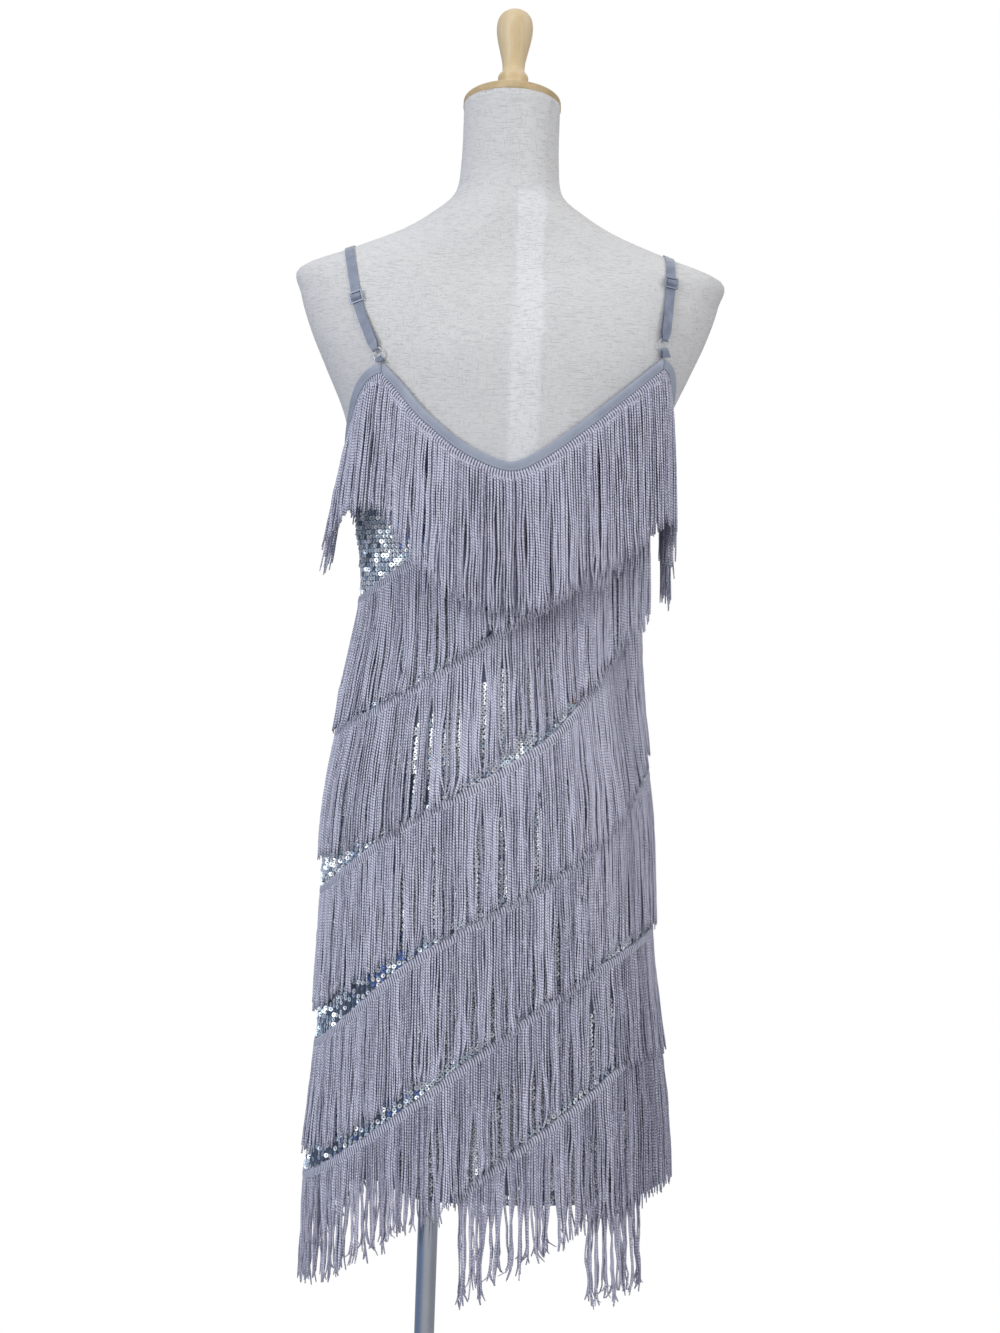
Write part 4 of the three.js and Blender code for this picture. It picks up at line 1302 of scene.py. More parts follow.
    def tones(self, layer: Layer) -> np.ndarray:
        """Give each strand its tone, with painted shade: darker at the right, most on low tiers, and in the
        hidden layer.
        """
        rng = self.rng
        tone = rng.normal(self.tier.tone, 0.06, layer.groups)[layer.number]
        tone = np.clip(tone + rng.normal(0, 0.17, layer.count), 0, 1)
        top = self.tier.top(layer.angle)
        place = DRESS.place_across(layer.angle, top)
        low = smoothstep(HEM + self.dark_below - top, 0, 80)
        # painted shade: darker towards the right, most on the low tiers
        painted_shade_right = 1 - 0.12 * smoothstep(place, 0.6, 0.9)
        tone = tone * painted_shade_right * (1 - 0.45 * smoothstep(place, 0.7, 0.88) * low)
        if layer.outer:
            return tone
        # the hidden layer is painted dark as the shade between the outer strands, less where it shows on low
        # tiers and at the sides
        low_tier = smoothstep(HEM + self.bare_below - top, 0, 60)
        exposed = np.maximum(low_tier, layer.at_side * min(self.tier.ragged_sides / 11, 1))
        return tone * (0.2 + 0.7 * exposed)

    def layer(self, outer: bool) -> tuple[np.ndarray, np.ndarray, np.ndarray]:
        """Hang one of the two layers.

        Args:
            outer: whether it is the layer that shows.

        Returns:
            The rings of points, their UV pairs and each strand's tone.
        """
        layer = self.start_layer(outer)
        length = self.lengths(layer)
        fall = length[:, None] * layer.share
        out = self.stand_off(layer, length, fall)
        points, normal = self.tier.hang(layer.angle[:, None], fall, out)
        loose = np.clip((HEM + 6 - points[..., 2]) / self.loose_over, 0, 1)
        aside, puff = self.sway(layer, loose)
        curl = np.clip((layer.share - self.curl_from) / (1 - self.curl_from), 0, 1) ** 1.6
        hook = self.rng.normal(0, 1, (layer.count, 1)) * curl * (1.1 + 2.6 * loose)
        points = points + around(normal) * (aside + hook)[..., None] + normal * puff[..., None]
        points[..., 0] += PLUMB_LEAN * np.maximum(HEM - points[..., 2], 0) * normal[..., 0] ** 2
        points[..., 2] += np.abs(hook) * 0.7
        rings = self.section(layer, points, normal)
        around_uv = np.broadcast_to(np.array([0, 0.25, 0.5, 0.75]), rings.shape[:3])
        shift = self.rng.uniform(0, 50, (layer.count, 1))
        along_uv = np.broadcast_to(((fall + shift) * MM)[..., None], rings.shape[:3])
        return rings, np.stack([around_uv, along_uv], -1), self.tones(layer)

    def build(self) -> bpy.types.Object:
        """Join both layers into one piece."""
        inner = self.layer(False)
        outer = self.layer(True)
        rings, uv, tone = (np.concatenate(pair) for pair in zip(inner, outer, strict=True))
        return bars_of(f"strands_{self.tier.name}_{self.half.label}", rings, uv, tone)


@dataclass
class Heading:
    """The band of fine cords, stitched across a tape, that holds the strands."""

    tier: Tier
    half: Half
    height: float = 8.5
    back_out: float = 0.9

    FACE = ((0.0, 1.7), (0.08, 2.5), (0.3, 3.3), (0.6, 3.4), (0.85, 3.0), (1.0, 2.1))

    def build(self) -> bpy.types.Object:
        """Build the band as a closed, gently crowned ribbon whose cords lie square to its edge."""
        angles = self.tier.angles(self.half, self.tier.stations)
        top = self.tier.top(angles)
        points = DRESS.point(angles, top)
        along = run_along(points)
        rise = np.gradient(top, along)
        steep = 1 / np.sqrt(np.maximum(1 - rise**2, 0.28))
        lap = self.tier.lap
        ring, uv = [], []
        for share, out in (*self.FACE, *((share, self.back_out) for share, _ in self.FACE[::-1])):
            fall = (share * (self.height + lap) - lap) * steep
            ring.append(self.tier.hang(angles, fall, np.full_like(angles, out))[0])
            square_to = (along - rise * fall * (1 - share / 2)) * MM
            uv.append(np.stack([square_to, np.full_like(along, share)], -1))
        return tube_of(f"heading_{self.tier.name}_{self.half.label}", np.stack(ring), np.stack(uv))


# ---------------------------------------------------------------- cloth panels


@dataclass
class Panel:
    """The sequinned ground cloth of one half of the dress."""

    half: Half
    columns: int = 61
    rows: int = 90
    wall: float = 1.2
    fold_depth: float = 0.9
    fold_top: float = 760
    left_rise: float = 15
    left_place: float = -0.62
    left_spread: float = 0.18
    right_rise: float = 8
    margin: float = 0.06

    def hem(self, degrees: np.ndarray) -> np.ndarray:
        """Find the height of the cloth's lower edge, which rises a little on either side."""
        place = DRESS.place_across(degrees, np.full_like(degrees, HEM))
        left = self.left_rise * np.exp(-(((place - self.left_place) / self.left_spread) ** 2))
        return HEM + left + self.right_rise * smoothstep(place, 0.7, 1)

    def build(self) -> bpy.types.Object:
        """Build the cloth as a thin shell with soft upright folds that deepen towards the hem."""
        low, high = self.half.value
        angle = np.linspace(low + self.margin, high - self.margin, self.columns)[None, :]
        share = np.linspace(0, 1, self.rows)[:, None]
        z = self.hem(angle) + (EDGE.height(angle) - self.hem(angle)) * share
        folds = np.sin(np.radians(angle) * 9 + 0.7) + 0.6 * np.sin(np.radians(angle) * 14.3 + 2.1)
        depth = self.fold_depth * (1 - smoothstep(z, HEM, self.fold_top)) * (folds - 1.6) / 2
        points = DRESS.point(angle, z) + DRESS.out(angle, z) * depth[..., None]
        uv = np.stack(np.broadcast_arrays(np.radians(angle) * 0.14, z * MM), -1)
        piece = sheet_of(f"{self.half.label}_cloth", points, uv)
        wall(piece, self.wall)
        return piece


class Foil(Enum):
    """The special foils, by the tone that picks each of them."""

    DARK = 0.02
    # WHITE is also a painted glint where it is set in patches and under partings
    WHITE = 0.85
    # COBALT and AMBER paint the foil's coloured glints
    COBALT = 0.965
    AMBER = 0.995


@dataclass(frozen=True)
class Spot:
    """An upright oval patch of one foil on the dress's back, white ones painted glints; lit sequins face the
    key light or the eye.
    """

    foil: Foil
    x: float
    z: float
    half_width: float
    half_height: float
    share: float = 1
    lit: bool = False


# The white patches are painted glints, set white where the key light's reflections fall, most also aimed at
# it; the cobalt and amber patches are painted coloured glints.
SPOTS = (
    Spot(Foil.WHITE, -68, 895, 4, 20, 0.85, True),
    Spot(Foil.WHITE, -73, 865, 4, 18, 0.85, True),
    Spot(Foil.WHITE, -71, 846, 5, 9, 1, True),
    Spot(Foil.WHITE, -56, 890, 4, 32, 0.85, True),
    Spot(Foil.WHITE, -57, 860, 5, 12, 1, True),
    Spot(Foil.WHITE, -51, 848, 6, 9, 1, True),
    Spot(Foil.WHITE, -46, 888, 4, 24, 0.6, True),
    Spot(Foil.WHITE, -82, 938, 5, 6, 1, True),
    Spot(Foil.WHITE, -68, 968, 14, 6, 0.7, True),
    Spot(Foil.WHITE, 20, 882, 5, 9, 1, True),
    Spot(Foil.WHITE, -14, 905, 4, 40, 0.4, True),
    Spot(Foil.WHITE, 3, 930, 4, 20, 0.5, True),
    Spot(Foil.WHITE, 10, 838, 6, 6, 1, True),
    Spot(Foil.WHITE, 38, 858, 6, 6, 1, True),
    Spot(Foil.WHITE, 78, 932, 8, 7, 0.8, True),
    Spot(Foil.WHITE, 91, 958, 6, 10, 0.8, True),
    Spot(Foil.WHITE, -142, 768, 14, 16, 0.25, True),
    Spot(Foil.WHITE, -128, 1046, 12, 40, 0.3),
    Spot(Foil.DARK, -78, 838, 4, 20),
    Spot(Foil.DARK, -62, 836, 3, 11),
    Spot(Foil.DARK, -150, 560, 4, 26, 0.8),
    Spot(Foil.DARK, -128, 560, 3, 20, 0.5),
    Spot(Foil.COBALT, -93, 1078, 7, 14, 0.6),
    Spot(Foil.COBALT, -73, 1082, 7, 16, 0.6),
    Spot(Foil.COBALT, -105, 680, 30, 16, 0.32),
    Spot(Foil.DARK, -118, 640, 34, 22, 0.45),
    Spot(Foil.DARK, -140, 500, 34, 22, 0.35),
    Spot(Foil.COBALT, -75, 700, 16, 12, 0.45),
    Spot(Foil.COBALT, -78, 562, 26, 14, 0.3),
    Spot(Foil.COBALT, -130, 528, 30, 14, 0.12),
    Spot(Foil.AMBER, 72, 930, 6, 6, 0.8),
    Spot(Foil.AMBER, 84, 944, 5, 6, 0.7),
)


@dataclass
class Sequins:
    """The upright lines of sequins on one half of the dress.

    Lit sequins are flatter and mirror the key light: the glint_share of all, and those under partings, which
    are also set white as painted glints. Of the ones in patches and under partings, the plain_share faces
    the eye instead.
    """

    half: Half
    half_girth: float = 442
    top: float = 1290
    first_row: float = 3
    edge_margin: float = 9
    across_pitch: float = 5.2
    down_pitch: float = 4.3
    radius: float = 2.45
    hole: float = 0.65
    cup: float = 0.35
    lit_cup: float = 0.1
    sides: int = 8
    off_cloth: float = 0.8
    hidden_from: float = 0.02
    hidden_share: float = 0.34
    glint_share: float = 0.13
    plain_share: float = 0.25
    under_reach: float = 4.5
    under_end: float = 0.96
    under_share: float = 0.8
    tip_up: float = 0.12
    scatter: float = 0.14
    lit_scatter: float = 0.05
    cobalt_share: float = 0.012
    seed: int = 7

    def shown(self, degrees: np.ndarray, z: np.ndarray) -> np.ndarray:
        """Find which places aren't closed in by the upper part of a tier's strands."""
        keep = np.ones(degrees.shape, bool)
        for tier in TIERS:
            if self.half is Half.FRONT and not tier.has_front:
                continue
            back = EDGE.back_angle(degrees)
            inside = (back >= tier.start) & (back <= tier.end)
            fall = (tier.top(degrees) - z) / tier.drop(degrees)
            keep &= ~(inside & (fall > self.hidden_from) & (fall < self.hidden_share))
        return keep

    def spots(self, angle: np.ndarray, points: np.ndarray,
              rng: np.random.Generator) -> tuple[np.ndarray, np.ndarray]:
        """Find the foil of sequins in the special patches and under the partings; white, cobalt and amber
        are painted glints.

        Args:
            angle: the sequins' angles.
            points: the sequins' places.
            rng: the sequins' random numbers.

        Returns:
            The tone of each, or -1 outside the patches, and whether it is lit.
        """
        tone = np.full(len(points), -1.0)
        lit = rng.uniform(0, 1, len(points)) < self.glint_share
        if self.half is Half.FRONT:
            return tone, lit
        for tier in TIERS:
            fall = tier.top(angle) - points[:, 2]
            share = fall / tier.drop(angle)
            for parting in ALL_PARTINGS[tier.name]:
                away = np.abs(points[:, 0] - parting.x - PLUMB_LEAN * fall)
                under = (away < self.under_reach) & (share > parting.start)
                under &= share < min(parting.end, self.under_end)
                under &= rng.uniform(0, 1, len(points)) < self.under_share
                # the sequins under partings are set white, a painted glint, and aimed at the key light or
                # the eye
                tone = np.where(under, Foil.WHITE.value, tone)
                lit = lit | under
        for spot in SPOTS:
            across = (points[:, 0] - spot.x) / spot.half_width
            upright = (points[:, 2] - spot.z) / spot.half_height
            inside = (across**2 + upright**2 < 1) & (rng.uniform(0, 1, len(points)) < spot.share)
            tone = np.where(inside, spot.foil.value, tone)
            lit = np.where(inside, spot.lit, lit)
        return tone, lit

    def places(self, rng: np.random.Generator) -> tuple[np.ndarray, np.ndarray]:
        """Lay out the shown sequins' angles and heights."""
        low, high = self.half.value
        lines = int((high - low) / 180 * self.half_girth / self.across_pitch)
        angle = low + (np.arange(lines) + 0.5) / lines * (high - low)
        rows = int((self.top - HEM) / self.down_pitch)
        z = HEM + self.first_row + np.arange(rows) * self.down_pitch
        angle, z = (a.ravel() for a in np.meshgrid(angle, z))
        z = z + rng.normal(0, 0.3, z.shape)
        angle = angle + rng.normal(0, 0.08, z.shape)
        keep = z < EDGE.height(angle) - self.edge_margin * EDGE.steepness(angle)
        keep &= self.shown(angle, z)
        keep &= z > Panel(self.half).hem(angle) + self.radius
        return angle[keep], z[keep]

    def build(self) -> bpy.types.Object:
        """Build every sequin as a cupped ring of a few sides, in one mesh."""
        rng = np.random.default_rng(self.seed + (self.half is Half.FRONT))
        angle, z = self.places(rng)
        count = len(z)
        normal = DRESS.out(angle, z)
        tangent = around(normal)
        centre = DRESS.point(angle, z) + normal * self.off_cloth
        special, lit = self.spots(angle, centre, rng)
        facing = self.facings(rng, centre, normal, special, lit)
        side = unit(tangent - facing * (tangent * facing).sum(-1, keepdims=True))
        rise = np.cross(facing, side)
        corner = np.arange(self.sides) / self.sides * math.tau
        spin = rng.uniform(0, math.tau, (count, 1))
        cosine, sine = np.cos(corner + spin)[..., None], np.sin(corner + spin)[..., None]
        spoke = side[:, None] * cosine + rise[:, None] * sine
        cup = np.where(lit, self.lit_cup, self.cup)[:, None, None]
        outer = centre[:, None] + spoke * self.radius + facing[:, None] * cup
        inner = centre[:, None] + spoke * self.hole
        points = np.stack([outer, inner], 1).reshape(-1, 3)
        number = np.arange(count * 2 * self.sides).reshape(count, 2, self.sides)
        after = np.roll(number, -1, axis=2)
        quads = np.stack([number[:, 0], after[:, 0], after[:, 1], number[:, 1]], -1).reshape(-1, 4)
        radial = np.broadcast_to(np.array([1.0, self.hole / self.radius])[None, :, None], number.shape)
        uv = np.stack([radial, np.zeros(number.shape)], -1).reshape(-1, 2)
        piece = mesh_of(f"sequins_{self.half.label}", points, quads, uv, smooth=False)
        tone = np.where(special >= 0, special, self.tones(rng, angle, z))
        give_values(piece, "tone", np.repeat(tone, 2 * self.sides))
        return piece

    def facings(self, rng: np.random.Generator, centre: np.ndarray, normal: np.ndarray, special: np.ndarray,
                lit: np.ndarray) -> np.ndarray:
        """Find which way each sequin faces.

        Args:
            rng: the sequins' random numbers.
            centre: the sequins' middles.
            normal: the cloth's outward directions there.
            special: the tones of the sequins in patches and under partings, below 0 elsewhere.
            lit: which sequins are aimed.

        Returns:
            The directions, of length 1.
        """
        lean, turn = rng.normal(0, self.scatter, (2, len(centre), 1))
        up = np.array([0.0, 0.0, 1.0])
        loose = unit(normal + up * (self.tip_up + lean) + around(normal) * turn)
        eye = unit(np.array(EYE_PLACE) - centre)
        halfway = unit(unit(np.array(KEY_PLACE) - centre) + eye)
        plain = (special >= 0) & (rng.uniform(0, 1, len(centre)) < self.plain_share)
        aimed = np.where(plain[:, None], eye, halfway) + rng.normal(0, self.lit_scatter, centre.shape)
        return np.where(lit[:, None], unit(aimed), loose)

    def tones(self, rng: np.random.Generator, angle: np.ndarray, z: np.ndarray) -> np.ndarray:
        """Give each sequin its foil, in loose lighter and darker patches of painted reflection; a few cobalt
        are painted glints.
        """
        # the lighter and darker patches are painted reflection
        patch = np.sin(angle * 0.21 + z * 0.013) + np.sin(angle * 0.13 - z * 0.029 + 2)
        tone = np.clip(rng.normal(0.56 + 0.1 * patch, 0.22, len(z)), 0, 0.94)
        # the few cobalt sequins are painted glints
        return np.where(rng.uniform(0, 1, len(z)) < self.cobalt_share, Foil.COBALT.value, tone)


@dataclass
class Binding:
    """A folded binding over a stretch of the top edge."""

    name: str
    start: float
    end: float
    width: float = 6.7
    inside: float = 5.5
    gap: float = 1.1
    wall: float = 1
    cloth: float = 1.4
    station: float = 1.1
    crest: float = 0.6

    def build(self) -> bpy.types.Object:
        """Build the binding as a rounded, closed fold."""
        count = max(24, int(abs(self.end - self.start) / self.station))
        angles = np.linspace(self.start, self.end, count)
        top = EDGE.height(angles)
        steep = EDGE.steepness(angles)
        out, deep = self.gap + self.wall, -self.cloth - self.gap - self.wall
        middle = (out + deep) / 2
        radius = (out - deep) / 2
        turns = np.linspace(0, math.pi, 9)
        face = [(out, self.width), (out + 0.05, self.width * 0.92), (out + 0.15, self.width * 0.55)]
        outer = [*face, *self.fold(middle, radius, turns), (deep, self.inside)]
        inner = [(deep + self.wall, self.inside), *self.fold(middle, radius - self.wall, turns[::-1])]
        inner += [(lift - self.wall, down) for lift, down in reversed(face)]
        points = DRESS.point(angles, top)
        along = run_along(points)
        ring, across = [], []
        for off, down in outer + inner:
            z = top - down * steep
            ring.append(DRESS.point(angles, z) + DRESS.out(angles, z) * off)
            across.append(self.width - down)
        uv = np.stack(np.broadcast_arrays(along[None] * MM, np.array(across)[:, None] * MM), -1)
        return tube_of(self.name, np.stack(ring, 0), uv)

    def fold(self, middle: float, radius: float, turns: np.ndarray) -> list[tuple[float, float]]:
        """Round the fold over the edge: how far off the cloth and how far down each point lies."""
        return [(middle + radius * math.cos(t), self.crest - radius * 0.9 * math.sin(t)) for t in turns]


@dataclass
class Dress:
    """The whole dress: cloth, sequins, bindings, fringe, straps and their fittings."""

    finishes: Finishes
    flat_width: float = 0.46
    flat_length: float = 0.80
    flat_area: float = 0.31
    mitre: float = 0.05

    def fringe(self, half: Half) -> list[bpy.types.Object]:
        """Hang every tier of one half."""
        made = []
        for k, tier in enumerate(TIERS):
            if half is Half.FRONT and not tier.has_front:
                continue
            strands = Strands(tier, half, seed=2 * k + (half is Half.FRONT)).build()
            dress_up(strands, self.finishes.yarn)
            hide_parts(f"fringe_{tier.name}_{half.label}")
            heading = Heading(tier, half).build()
            dress_up(heading, self.finishes.heading)
            made += [strands, heading]
            LOG.info("tier %s %s: %d faces", tier.name, half.label, len(strands.data.polygons))
        return made

    def bindings(self, half: Half) -> list[bpy.types.Object]:
        """Fold the bindings of one half; the armholes' belong to the back."""
        mitre, left, right = self.mitre, EDGE.left, EDGE.right
        rows = {
            Half.BACK: (
                ("back_neck_binding", left + mitre, right - mitre),
                ("left_armhole_binding", -180 - left + mitre, left - mitre),
                ("right_armhole_binding", right + mitre, 180 - right - mitre),
            ),
            Half.FRONT: (("front_neck_binding", 180 - right + mitre, 180 - left - mitre),),
        }
        made = []
        for name, start, end in rows[half]:
            piece = Binding(f"satin_{name}", start, end).build()
            dress_up(piece, self.finishes.binding)
            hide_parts(name)
            made.append(piece)
        return made

    def fittings(self) -> None:
        """Dress the straps, tabs, rings and sliders."""
        looks = (
            ("strap", self.finishes.strap, "satin_binding", 0.25),
            ("tab", self.finishes.strap, "satin_binding", 0.25),
            ("ring", self.finishes.clear, "clear_plastic", 0.0),
            ("slider", self.finishes.slider, "slider_metal", 0.2),
        )
        for side in ("left", "right"):
            for part, material, slot, rounding in looks:
                node = f"{side}_{part}"
                piece = copy_of(node, f"{node}_finished", smooth=part == "ring")
                if rounding:
                    edge_rounded(piece, rounding)
                dress_up(piece, material)
                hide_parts(node)

    def build(self) -> None:
        """Build the dress, back and front."""
        for half in Half:
            cloth = Panel(half).build()
            dress_up(cloth, self.finishes.ground)
            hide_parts(f"{half.label}_panel")
            sequins = Sequins(half).build()
            dress_up(sequins, self.finishes.foil)
            LOG.info("sequins %s: %d faces", half.label, len(sequins.data.polygons))
            trims = [sequins, *self.fringe(half), *self.bindings(half)]
        self.fittings()


# ---------------------------------------------------------------- dress form


@dataclass
class Torso:
    """The linen-covered torso, with its seams."""

    finishes: Finishes
    sides: int = 120
    rows: int = 172
    neck_root: float = 1404
    neck_tilt: float = math.radians(13.5)
    cap_y: float = 8.5
    seam_depth: float = 0.7
    seam_share: float = 0.02
    seam_top: float = 1320
    neck_seam_half: float = 1.6
    neck_seam_slant: float = 0.12
    layer_from: float = 1
    layer_to: float = 27.5
    layer_foot: float = 1100
    layer_lift: float = 0.45

    CLOSING = (0.985, 0.9, 0.6, 0.3, 0.02)

    def build(self) -> None:
        """Build the torso as a closed, smooth shell of cloth with a flat foot."""
        low, high = TORSO.keys[0], TORSO.keys[-1]
        heights = np.linspace(low, high, self.rows)[:, None]
        angle = (np.arange(self.sides) / self.sides * 360)[None, :]
        points = TORSO.point(angle, heights)
        normal = TORSO.out(angle, heights)
        x, z = points[..., 0], points[..., 2]
        on_back = points[..., 1] < 0
        edge = self.layer_to + 1.5 * np.sin(z * 0.06) + 0.8 * np.sin(z * 0.17)
        layered = on_back * smoothstep(x, self.layer_from, self.layer_from + 1.5)
        layered = layered * (1 - smoothstep((x - edge) / 2 + 0.5, 0, 1))
        layered = layered * smoothstep(z, self.layer_foot, self.layer_foot + 40)
        layered = layered * (1 - 0.72 * smoothstep(z, self.neck_root - 6, self.neck_root))
        side = np.abs(points[..., 1]) / TORSO.read("back", heights)
        groove = np.exp(-((side / self.seam_share) ** 2)) * (z < self.seam_top)
        above = z - self.neck_root + self.neck_seam_slant * points[..., 1]
        neck = np.exp(-((above / self.neck_seam_half) ** 2))
        lift = self.layer_lift * layered - self.seam_depth * (groove + 0.8 * neck)
        layered = np.minimum(layered + 0.45 * neck * on_back, 1)
        points = points + normal * lift[..., None]
        lean = smoothstep(heights, self.neck_root, high) * math.tan(self.neck_tilt)
        points[..., 2] -= lean * (points[..., 1] - self.cap_y)
        foot = self.closing(points[0])
        lid = self.closing(points[-1])
        grid = np.concatenate([foot[::-1], points, lid])
        piece = sheet_of("linen_torso", grid, wrap=True)
        extra = np.zeros((len(foot), self.sides))
        give_values(piece, "layered", np.concatenate([extra, layered, extra]))
        dress_up(piece, self.finishes.linen)
        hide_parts("form_torso")

    def closing(self, ring: np.ndarray) -> np.ndarray:
        """Make rings that close an end, from its rounded rim to a small middle."""
        middle = ring.mean(0)
        shares = np.array(self.CLOSING)[:, None, None]
        return middle + (ring - middle) * shares


@dataclass(frozen=True)
class Stop:
    """A point of a turned outline."""

    radius: float
    height: float


def disc_of(radius: float, foot: float, top: float) -> tuple[Stop, ...]:
    """Outline a round plate or rod between two heights."""
    return Stop(0, foot), Stop(radius, foot), Stop(radius, top), Stop(0, top)


def turned(name: str, outline: Sequence[Stop], place: Matrix, rounding: float,
           steps: int = 64) -> bpy.types.Object:
    """Turn an outline round its axis with bmesh.

    Args:
        name: the piece's name.
        outline: the points, from the axis at the foot to the axis at the top.
        place: where the axis stands, in millimetres.
        rounding: the rounding of its sharp edges.
        steps: the number of steps round.

    Returns:
        The linked object.
    """
    work = bmesh.new()
    verts = [work.verts.new((stop.radius, 0.0, stop.height)) for stop in outline]
    edges = [work.edges.new(pair) for pair in zip(verts, verts[1:])]
    bmesh.ops.spin(work, geom=[*verts, *edges], cent=(0, 0, 0), axis=(0, 0, 1), angle=math.tau, steps=steps,
                   use_merge=True)
    bmesh.ops.remove_doubles(work, verts=work.verts, dist=0.001)
    bmesh.ops.recalc_face_normals(work, faces=work.faces)
    sharp = [e for e in work.edges if len(e.link_faces) == 2 and e.calc_face_angle(0) > math.radians(32)]
    if sharp:
        bmesh.ops.bevel(work, geom=sharp, offset=rounding, offset_type="OFFSET", segments=3, profile=0.5,
                        affect="EDGES", material=-1, clamp_overlap=True)
    bmesh.ops.transform(work, matrix=Matrix.Scale(MM, 4) @ place, verts=work.verts)
    return link_work(work, bpy.data.meshes.new(name), smooth=True)


@dataclass
class NeckCap:
    """The wooden cap on the neck and its turned knob."""

    finishes: Finishes
    radius: float = 46.5
    thickness: float = 8
    x: float = -7
    y: float = 8.5
    seat: float = 1486.5
    tilt: float = math.radians(13.5)
    gap: float = 0.3

    KNOB = (
        Stop(0, 0), Stop(23, 0), Stop(23, 4), Stop(20.5, 6.5), Stop(15, 10), Stop(12.6, 13), Stop(12.2, 16),
        Stop(12.5, 18.5), Stop(13.2, 20), Stop(14.4, 22.5), Stop(14.7, 24.2), Stop(14.4, 26),
        Stop(13.5, 27.6), Stop(12.2, 28.8), Stop(11.1, 31), Stop(10.6, 34), Stop(10.8, 38), Stop(11.3, 42),
        Stop(12.5, 48), Stop(13.8, 54), Stop(15.2, 60), Stop(16.4, 66), Stop(17.2, 71), Stop(17.5, 76),
        Stop(17.4, 80), Stop(16.8, 84), Stop(15.6, 87.5), Stop(13.4, 90.8), Stop(10.2, 93.4),
        Stop(6.4, 95.2), Stop(2.8, 95.9), Stop(0, 96),
    )

    def place(self, height: float) -> Matrix:
        """Find the place of a turned piece on the tilted neck."""
        return (
            Matrix.Translation((self.x, self.y, self.seat))
            @ Matrix.Rotation(-self.tilt, 4, "X")
            @ Matrix.Translation((0, 0, height))
        )

    def build(self) -> None:
        """Build the cap and the knob."""
        disc = disc_of(self.radius, 0, self.thickness)
        cap = turned("wooden_cap", disc, self.place(0), rounding=1.3, steps=96)
        dress_up(cap, self.finishes.cap_wood)
        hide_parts("neck_cap")
        knob = turned("wooden_knob", self.KNOB, self.place(self.thickness + self.gap), rounding=0.5)
        dress_up(knob, self.finishes.knob_wood)
        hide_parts("cap_knob")


@dataclass
class Stand:
    """The round pole, its collar and socket, and the base plate."""

    finishes: Finishes
    x: float = -50
    pole_radius: float = 9.5
    plate_radius: float = 180
    plate: float = 8
    collar_radius: float = 22
    collar_height: float = 30
    socket_radius: float = 16
    socket_height: float = 42
    flange_radius: float = 38
    flange: float = 6
    clearance: float = 0.3

    def finish(self, piece: bpy.types.Object, node: str) -> None:
        """Dress a piece of the stand and put it in its node's place."""
        metal = self.finishes.steel if node == "base_plate" else self.finishes.chrome
        dress_up(piece, metal)
        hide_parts(node)

    def build(self) -> None:
        """Build the stand."""
        axis = Matrix.Translation((self.x, 0, 0))
        plate = disc_of(self.plate_radius, 0, self.plate)
        self.finish(turned("round_plate", plate, axis, rounding=2.0, steps=128), "base_plate")
        foot = self.plate + self.clearance
        bore = self.pole_radius + self.clearance
        rim, crown = self.collar_radius, foot + self.collar_height
        collar = (Stop(bore, foot), Stop(rim, foot), Stop(rim, crown), Stop(bore, crown), Stop(bore, foot))
        self.finish(turned("foot_collar", collar, axis, rounding=1.2), "pole_collar")
        top = TORSO.keys[0] - self.clearance
        seat, skirt = top - self.flange, top - self.socket_height
        socket = (
            Stop(bore, skirt), Stop(self.socket_radius, skirt), Stop(self.socket_radius, seat),
            Stop(self.flange_radius, seat), Stop(self.flange_radius, top), Stop(0, top), Stop(0, seat),
            Stop(bore, seat), Stop(bore, skirt),
        )
        self.finish(turned("torso_socket", socket, axis, rounding=0.9), "pole_socket")
        pole = disc_of(self.pole_radius, foot, seat - self.clearance)
        self.finish(turned("round_pole", pole, axis, rounding=0.6), "pole")


# ---------------------------------------------------------------- studio


@dataclass(frozen=True)
class SoftLight:
    """A square soft light: its place in millimetres, its side in metres and its power in watts."""

    name: str
    place: tuple[float, float, float]
    size: float
    power: float

    def hang(self, target: Sequence[float]) -> None:
        """Hang the light so that it faces a point, given in millimetres."""
        data = bpy.data.lights.new(self.name, "AREA")
        data.shape = "SQUARE"
        data.size = self.size
        data.energy = self.power
        light = link(self.name, data)
        light.location = Vector(self.place) * MM
        aim = Vector(target) - Vector(self.place)
        light.rotation_euler = aim.to_track_quat("-Z", "Y").to_euler()


@dataclass(frozen=True)
class RoomSide:
    """A side of the soft room: the axis it lies along, where it starts and is full, and its colour."""

    axis: str
    start: float
    full: float
    colour: tuple[float, float, float, float]


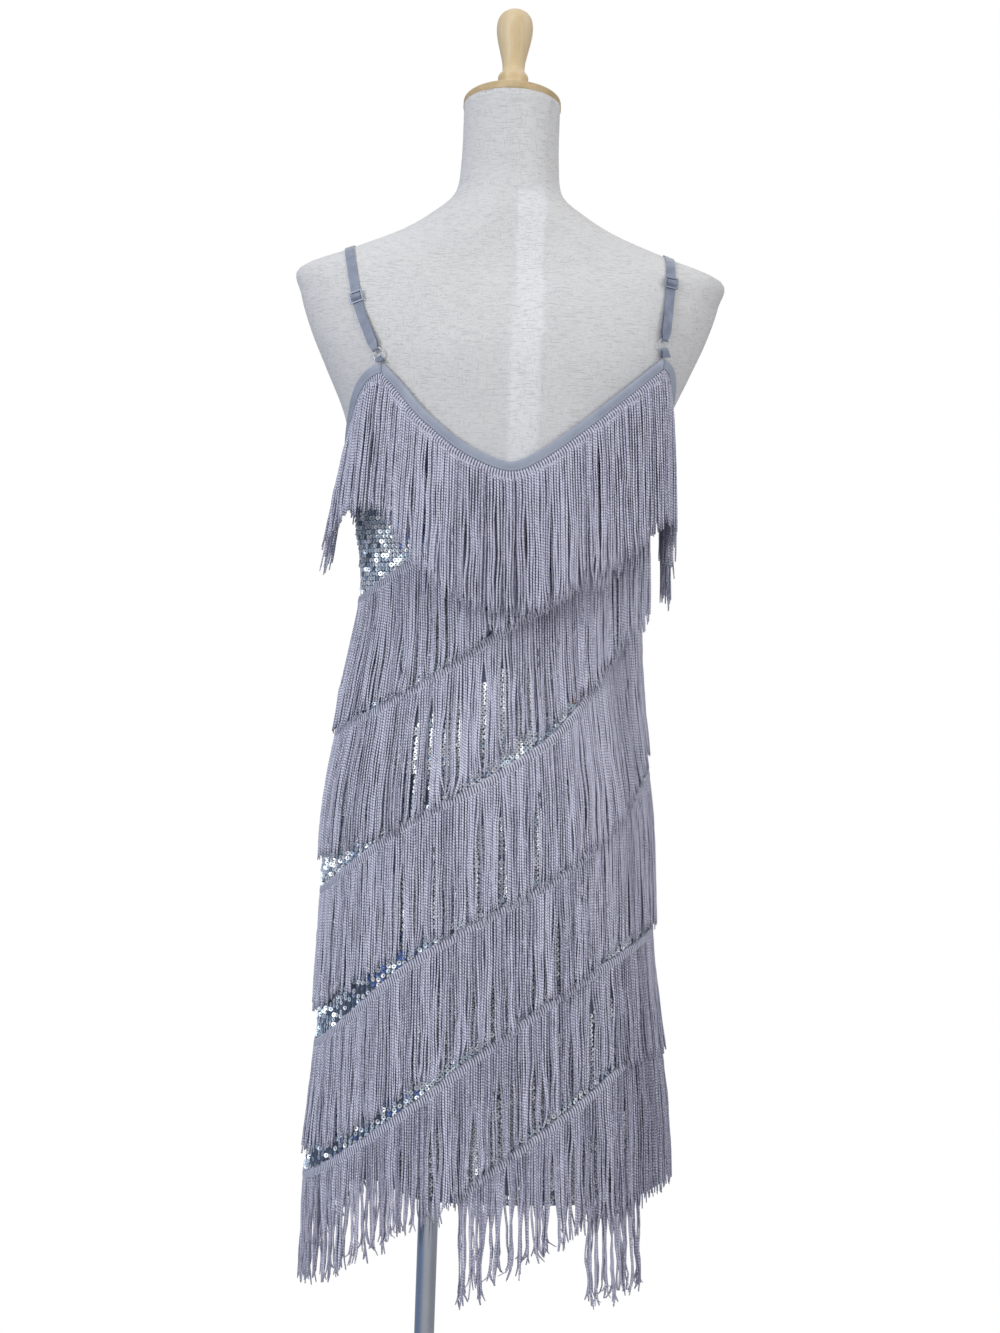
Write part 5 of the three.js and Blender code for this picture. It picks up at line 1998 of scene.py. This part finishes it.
@dataclass
class Studio:
    """A plain pale floor, soft light and the camera."""

    scale: float = 0.95
    roll: float = 2.0
    frame_height: float = 1333
    sensor: float = 36
    floor_radius: float = 1.02

    CHEST = (0, 0, 1150)
    LIGHTS = (
        SoftLight("key", KEY_PLACE, 1.0, 32),
        SoftLight("fill", (2300, -2150, 1700), 1.6, 19),
        SoftLight("front_fill", (300, 2600, 1900), 1.6, 16),
    )
    ROOM = (0.56, 0.56, 0.57, 1)
    SIDES = (
        RoomSide("Y", -0.1, 0.9, (0.34, 0.35, 0.38, 1)),
        RoomSide("X", -0.3, -0.92, (0.2, 0.27, 0.42, 1)),
        RoomSide("X", 0.4, 0.95, (0.36, 0.36, 0.38, 1)),
        RoomSide("Z", 0.25, 0.85, (0.98, 0.98, 1.0, 1)),
        RoomSide("Z", -0.15, -0.7, (0.24, 0.24, 0.26, 1)),
    )

    def camera(self) -> None:
        """Place the camera level with the dress's middle, behind its back."""
        data = bpy.data.cameras.new("camera")
        data.sensor_fit = "VERTICAL"
        data.sensor_height = self.sensor
        data.lens = self.sensor * -EYE_PLACE[1] / (self.scale * self.frame_height)
        data.clip_end = 60
        camera = link("camera", data)
        camera.matrix_world = (
            Matrix.Translation(Vector(EYE_PLACE) * MM)
            @ Matrix.Rotation(math.radians(90), 4, "X")
            @ Matrix.Rotation(math.radians(self.roll), 4, "Z")
        )
        bpy.context.scene.camera = camera

    def floor(self) -> None:
        """Lay the floor, a broad round of pale board."""
        work = bmesh.new()
        bmesh.ops.create_circle(work, cap_ends=True, radius=self.floor_radius, segments=160)
        floor = link_work(work, bpy.data.meshes.new("floor"), smooth=False)
        material, g, surface = start_material("pale_floor")
        g.fill(surface, Base_Color=(0.74, 0.74, 0.75, 1), Roughness=0.9)
        floor.data.materials.append(material)

    def world(self) -> None:
        """Surround the object with a soft room, grey and cooler on the left, seen as plain white."""
        world = bpy.data.worlds.new("studio")
        bpy.context.scene.world = world
        world.use_nodes = True
        tree = world.node_tree
        g = Graph(tree)
        room = next(n for n in tree.nodes if n.type == "BACKGROUND")
        output = next(n for n in tree.nodes if n.type == "OUTPUT_WORLD")
        towards = g.add("SeparateXYZ", Vector=g.add("TexCoord").outputs["Generated"]).outputs
        colour = self.ROOM
        for side in self.SIDES:
            colour = g.blend(g.stretch(towards[side.axis], side.start, side.full), colour, side.colour)
        g.fill(room, Color=colour)
        white = g.add("Background", Color=(1, 1, 1, 1))
        mix = g.add("MixShader", Fac=g.add("LightPath").outputs["Is Camera Ray"])
        g.put(room, mix.inputs[1])
        g.put(white, mix.inputs[2])
        g.fill(output, Surface=mix)

    def build(self) -> None:
        """Set up the studio."""
        self.world()
        self.camera()
        self.floor()
        for light in self.LIGHTS:
            light.hang(self.CHEST)
        view = bpy.context.scene.view_settings
        view.view_transform = "Standard"
        view.look = "None"


def main() -> None:
    """Build the studio, the form and the dress."""
    logging.basicConfig(level=logging.INFO, format="%(name)s: %(message)s")
    Studio().build()
    finishes = Finishes()
    Torso(finishes).build()
    NeckCap(finishes).build()
    Stand(finishes).build()
    LOG.info("form and stand built")
    Dress(finishes).build()
    LOG.info("dress built")


if __name__ == "__main__":
    main()
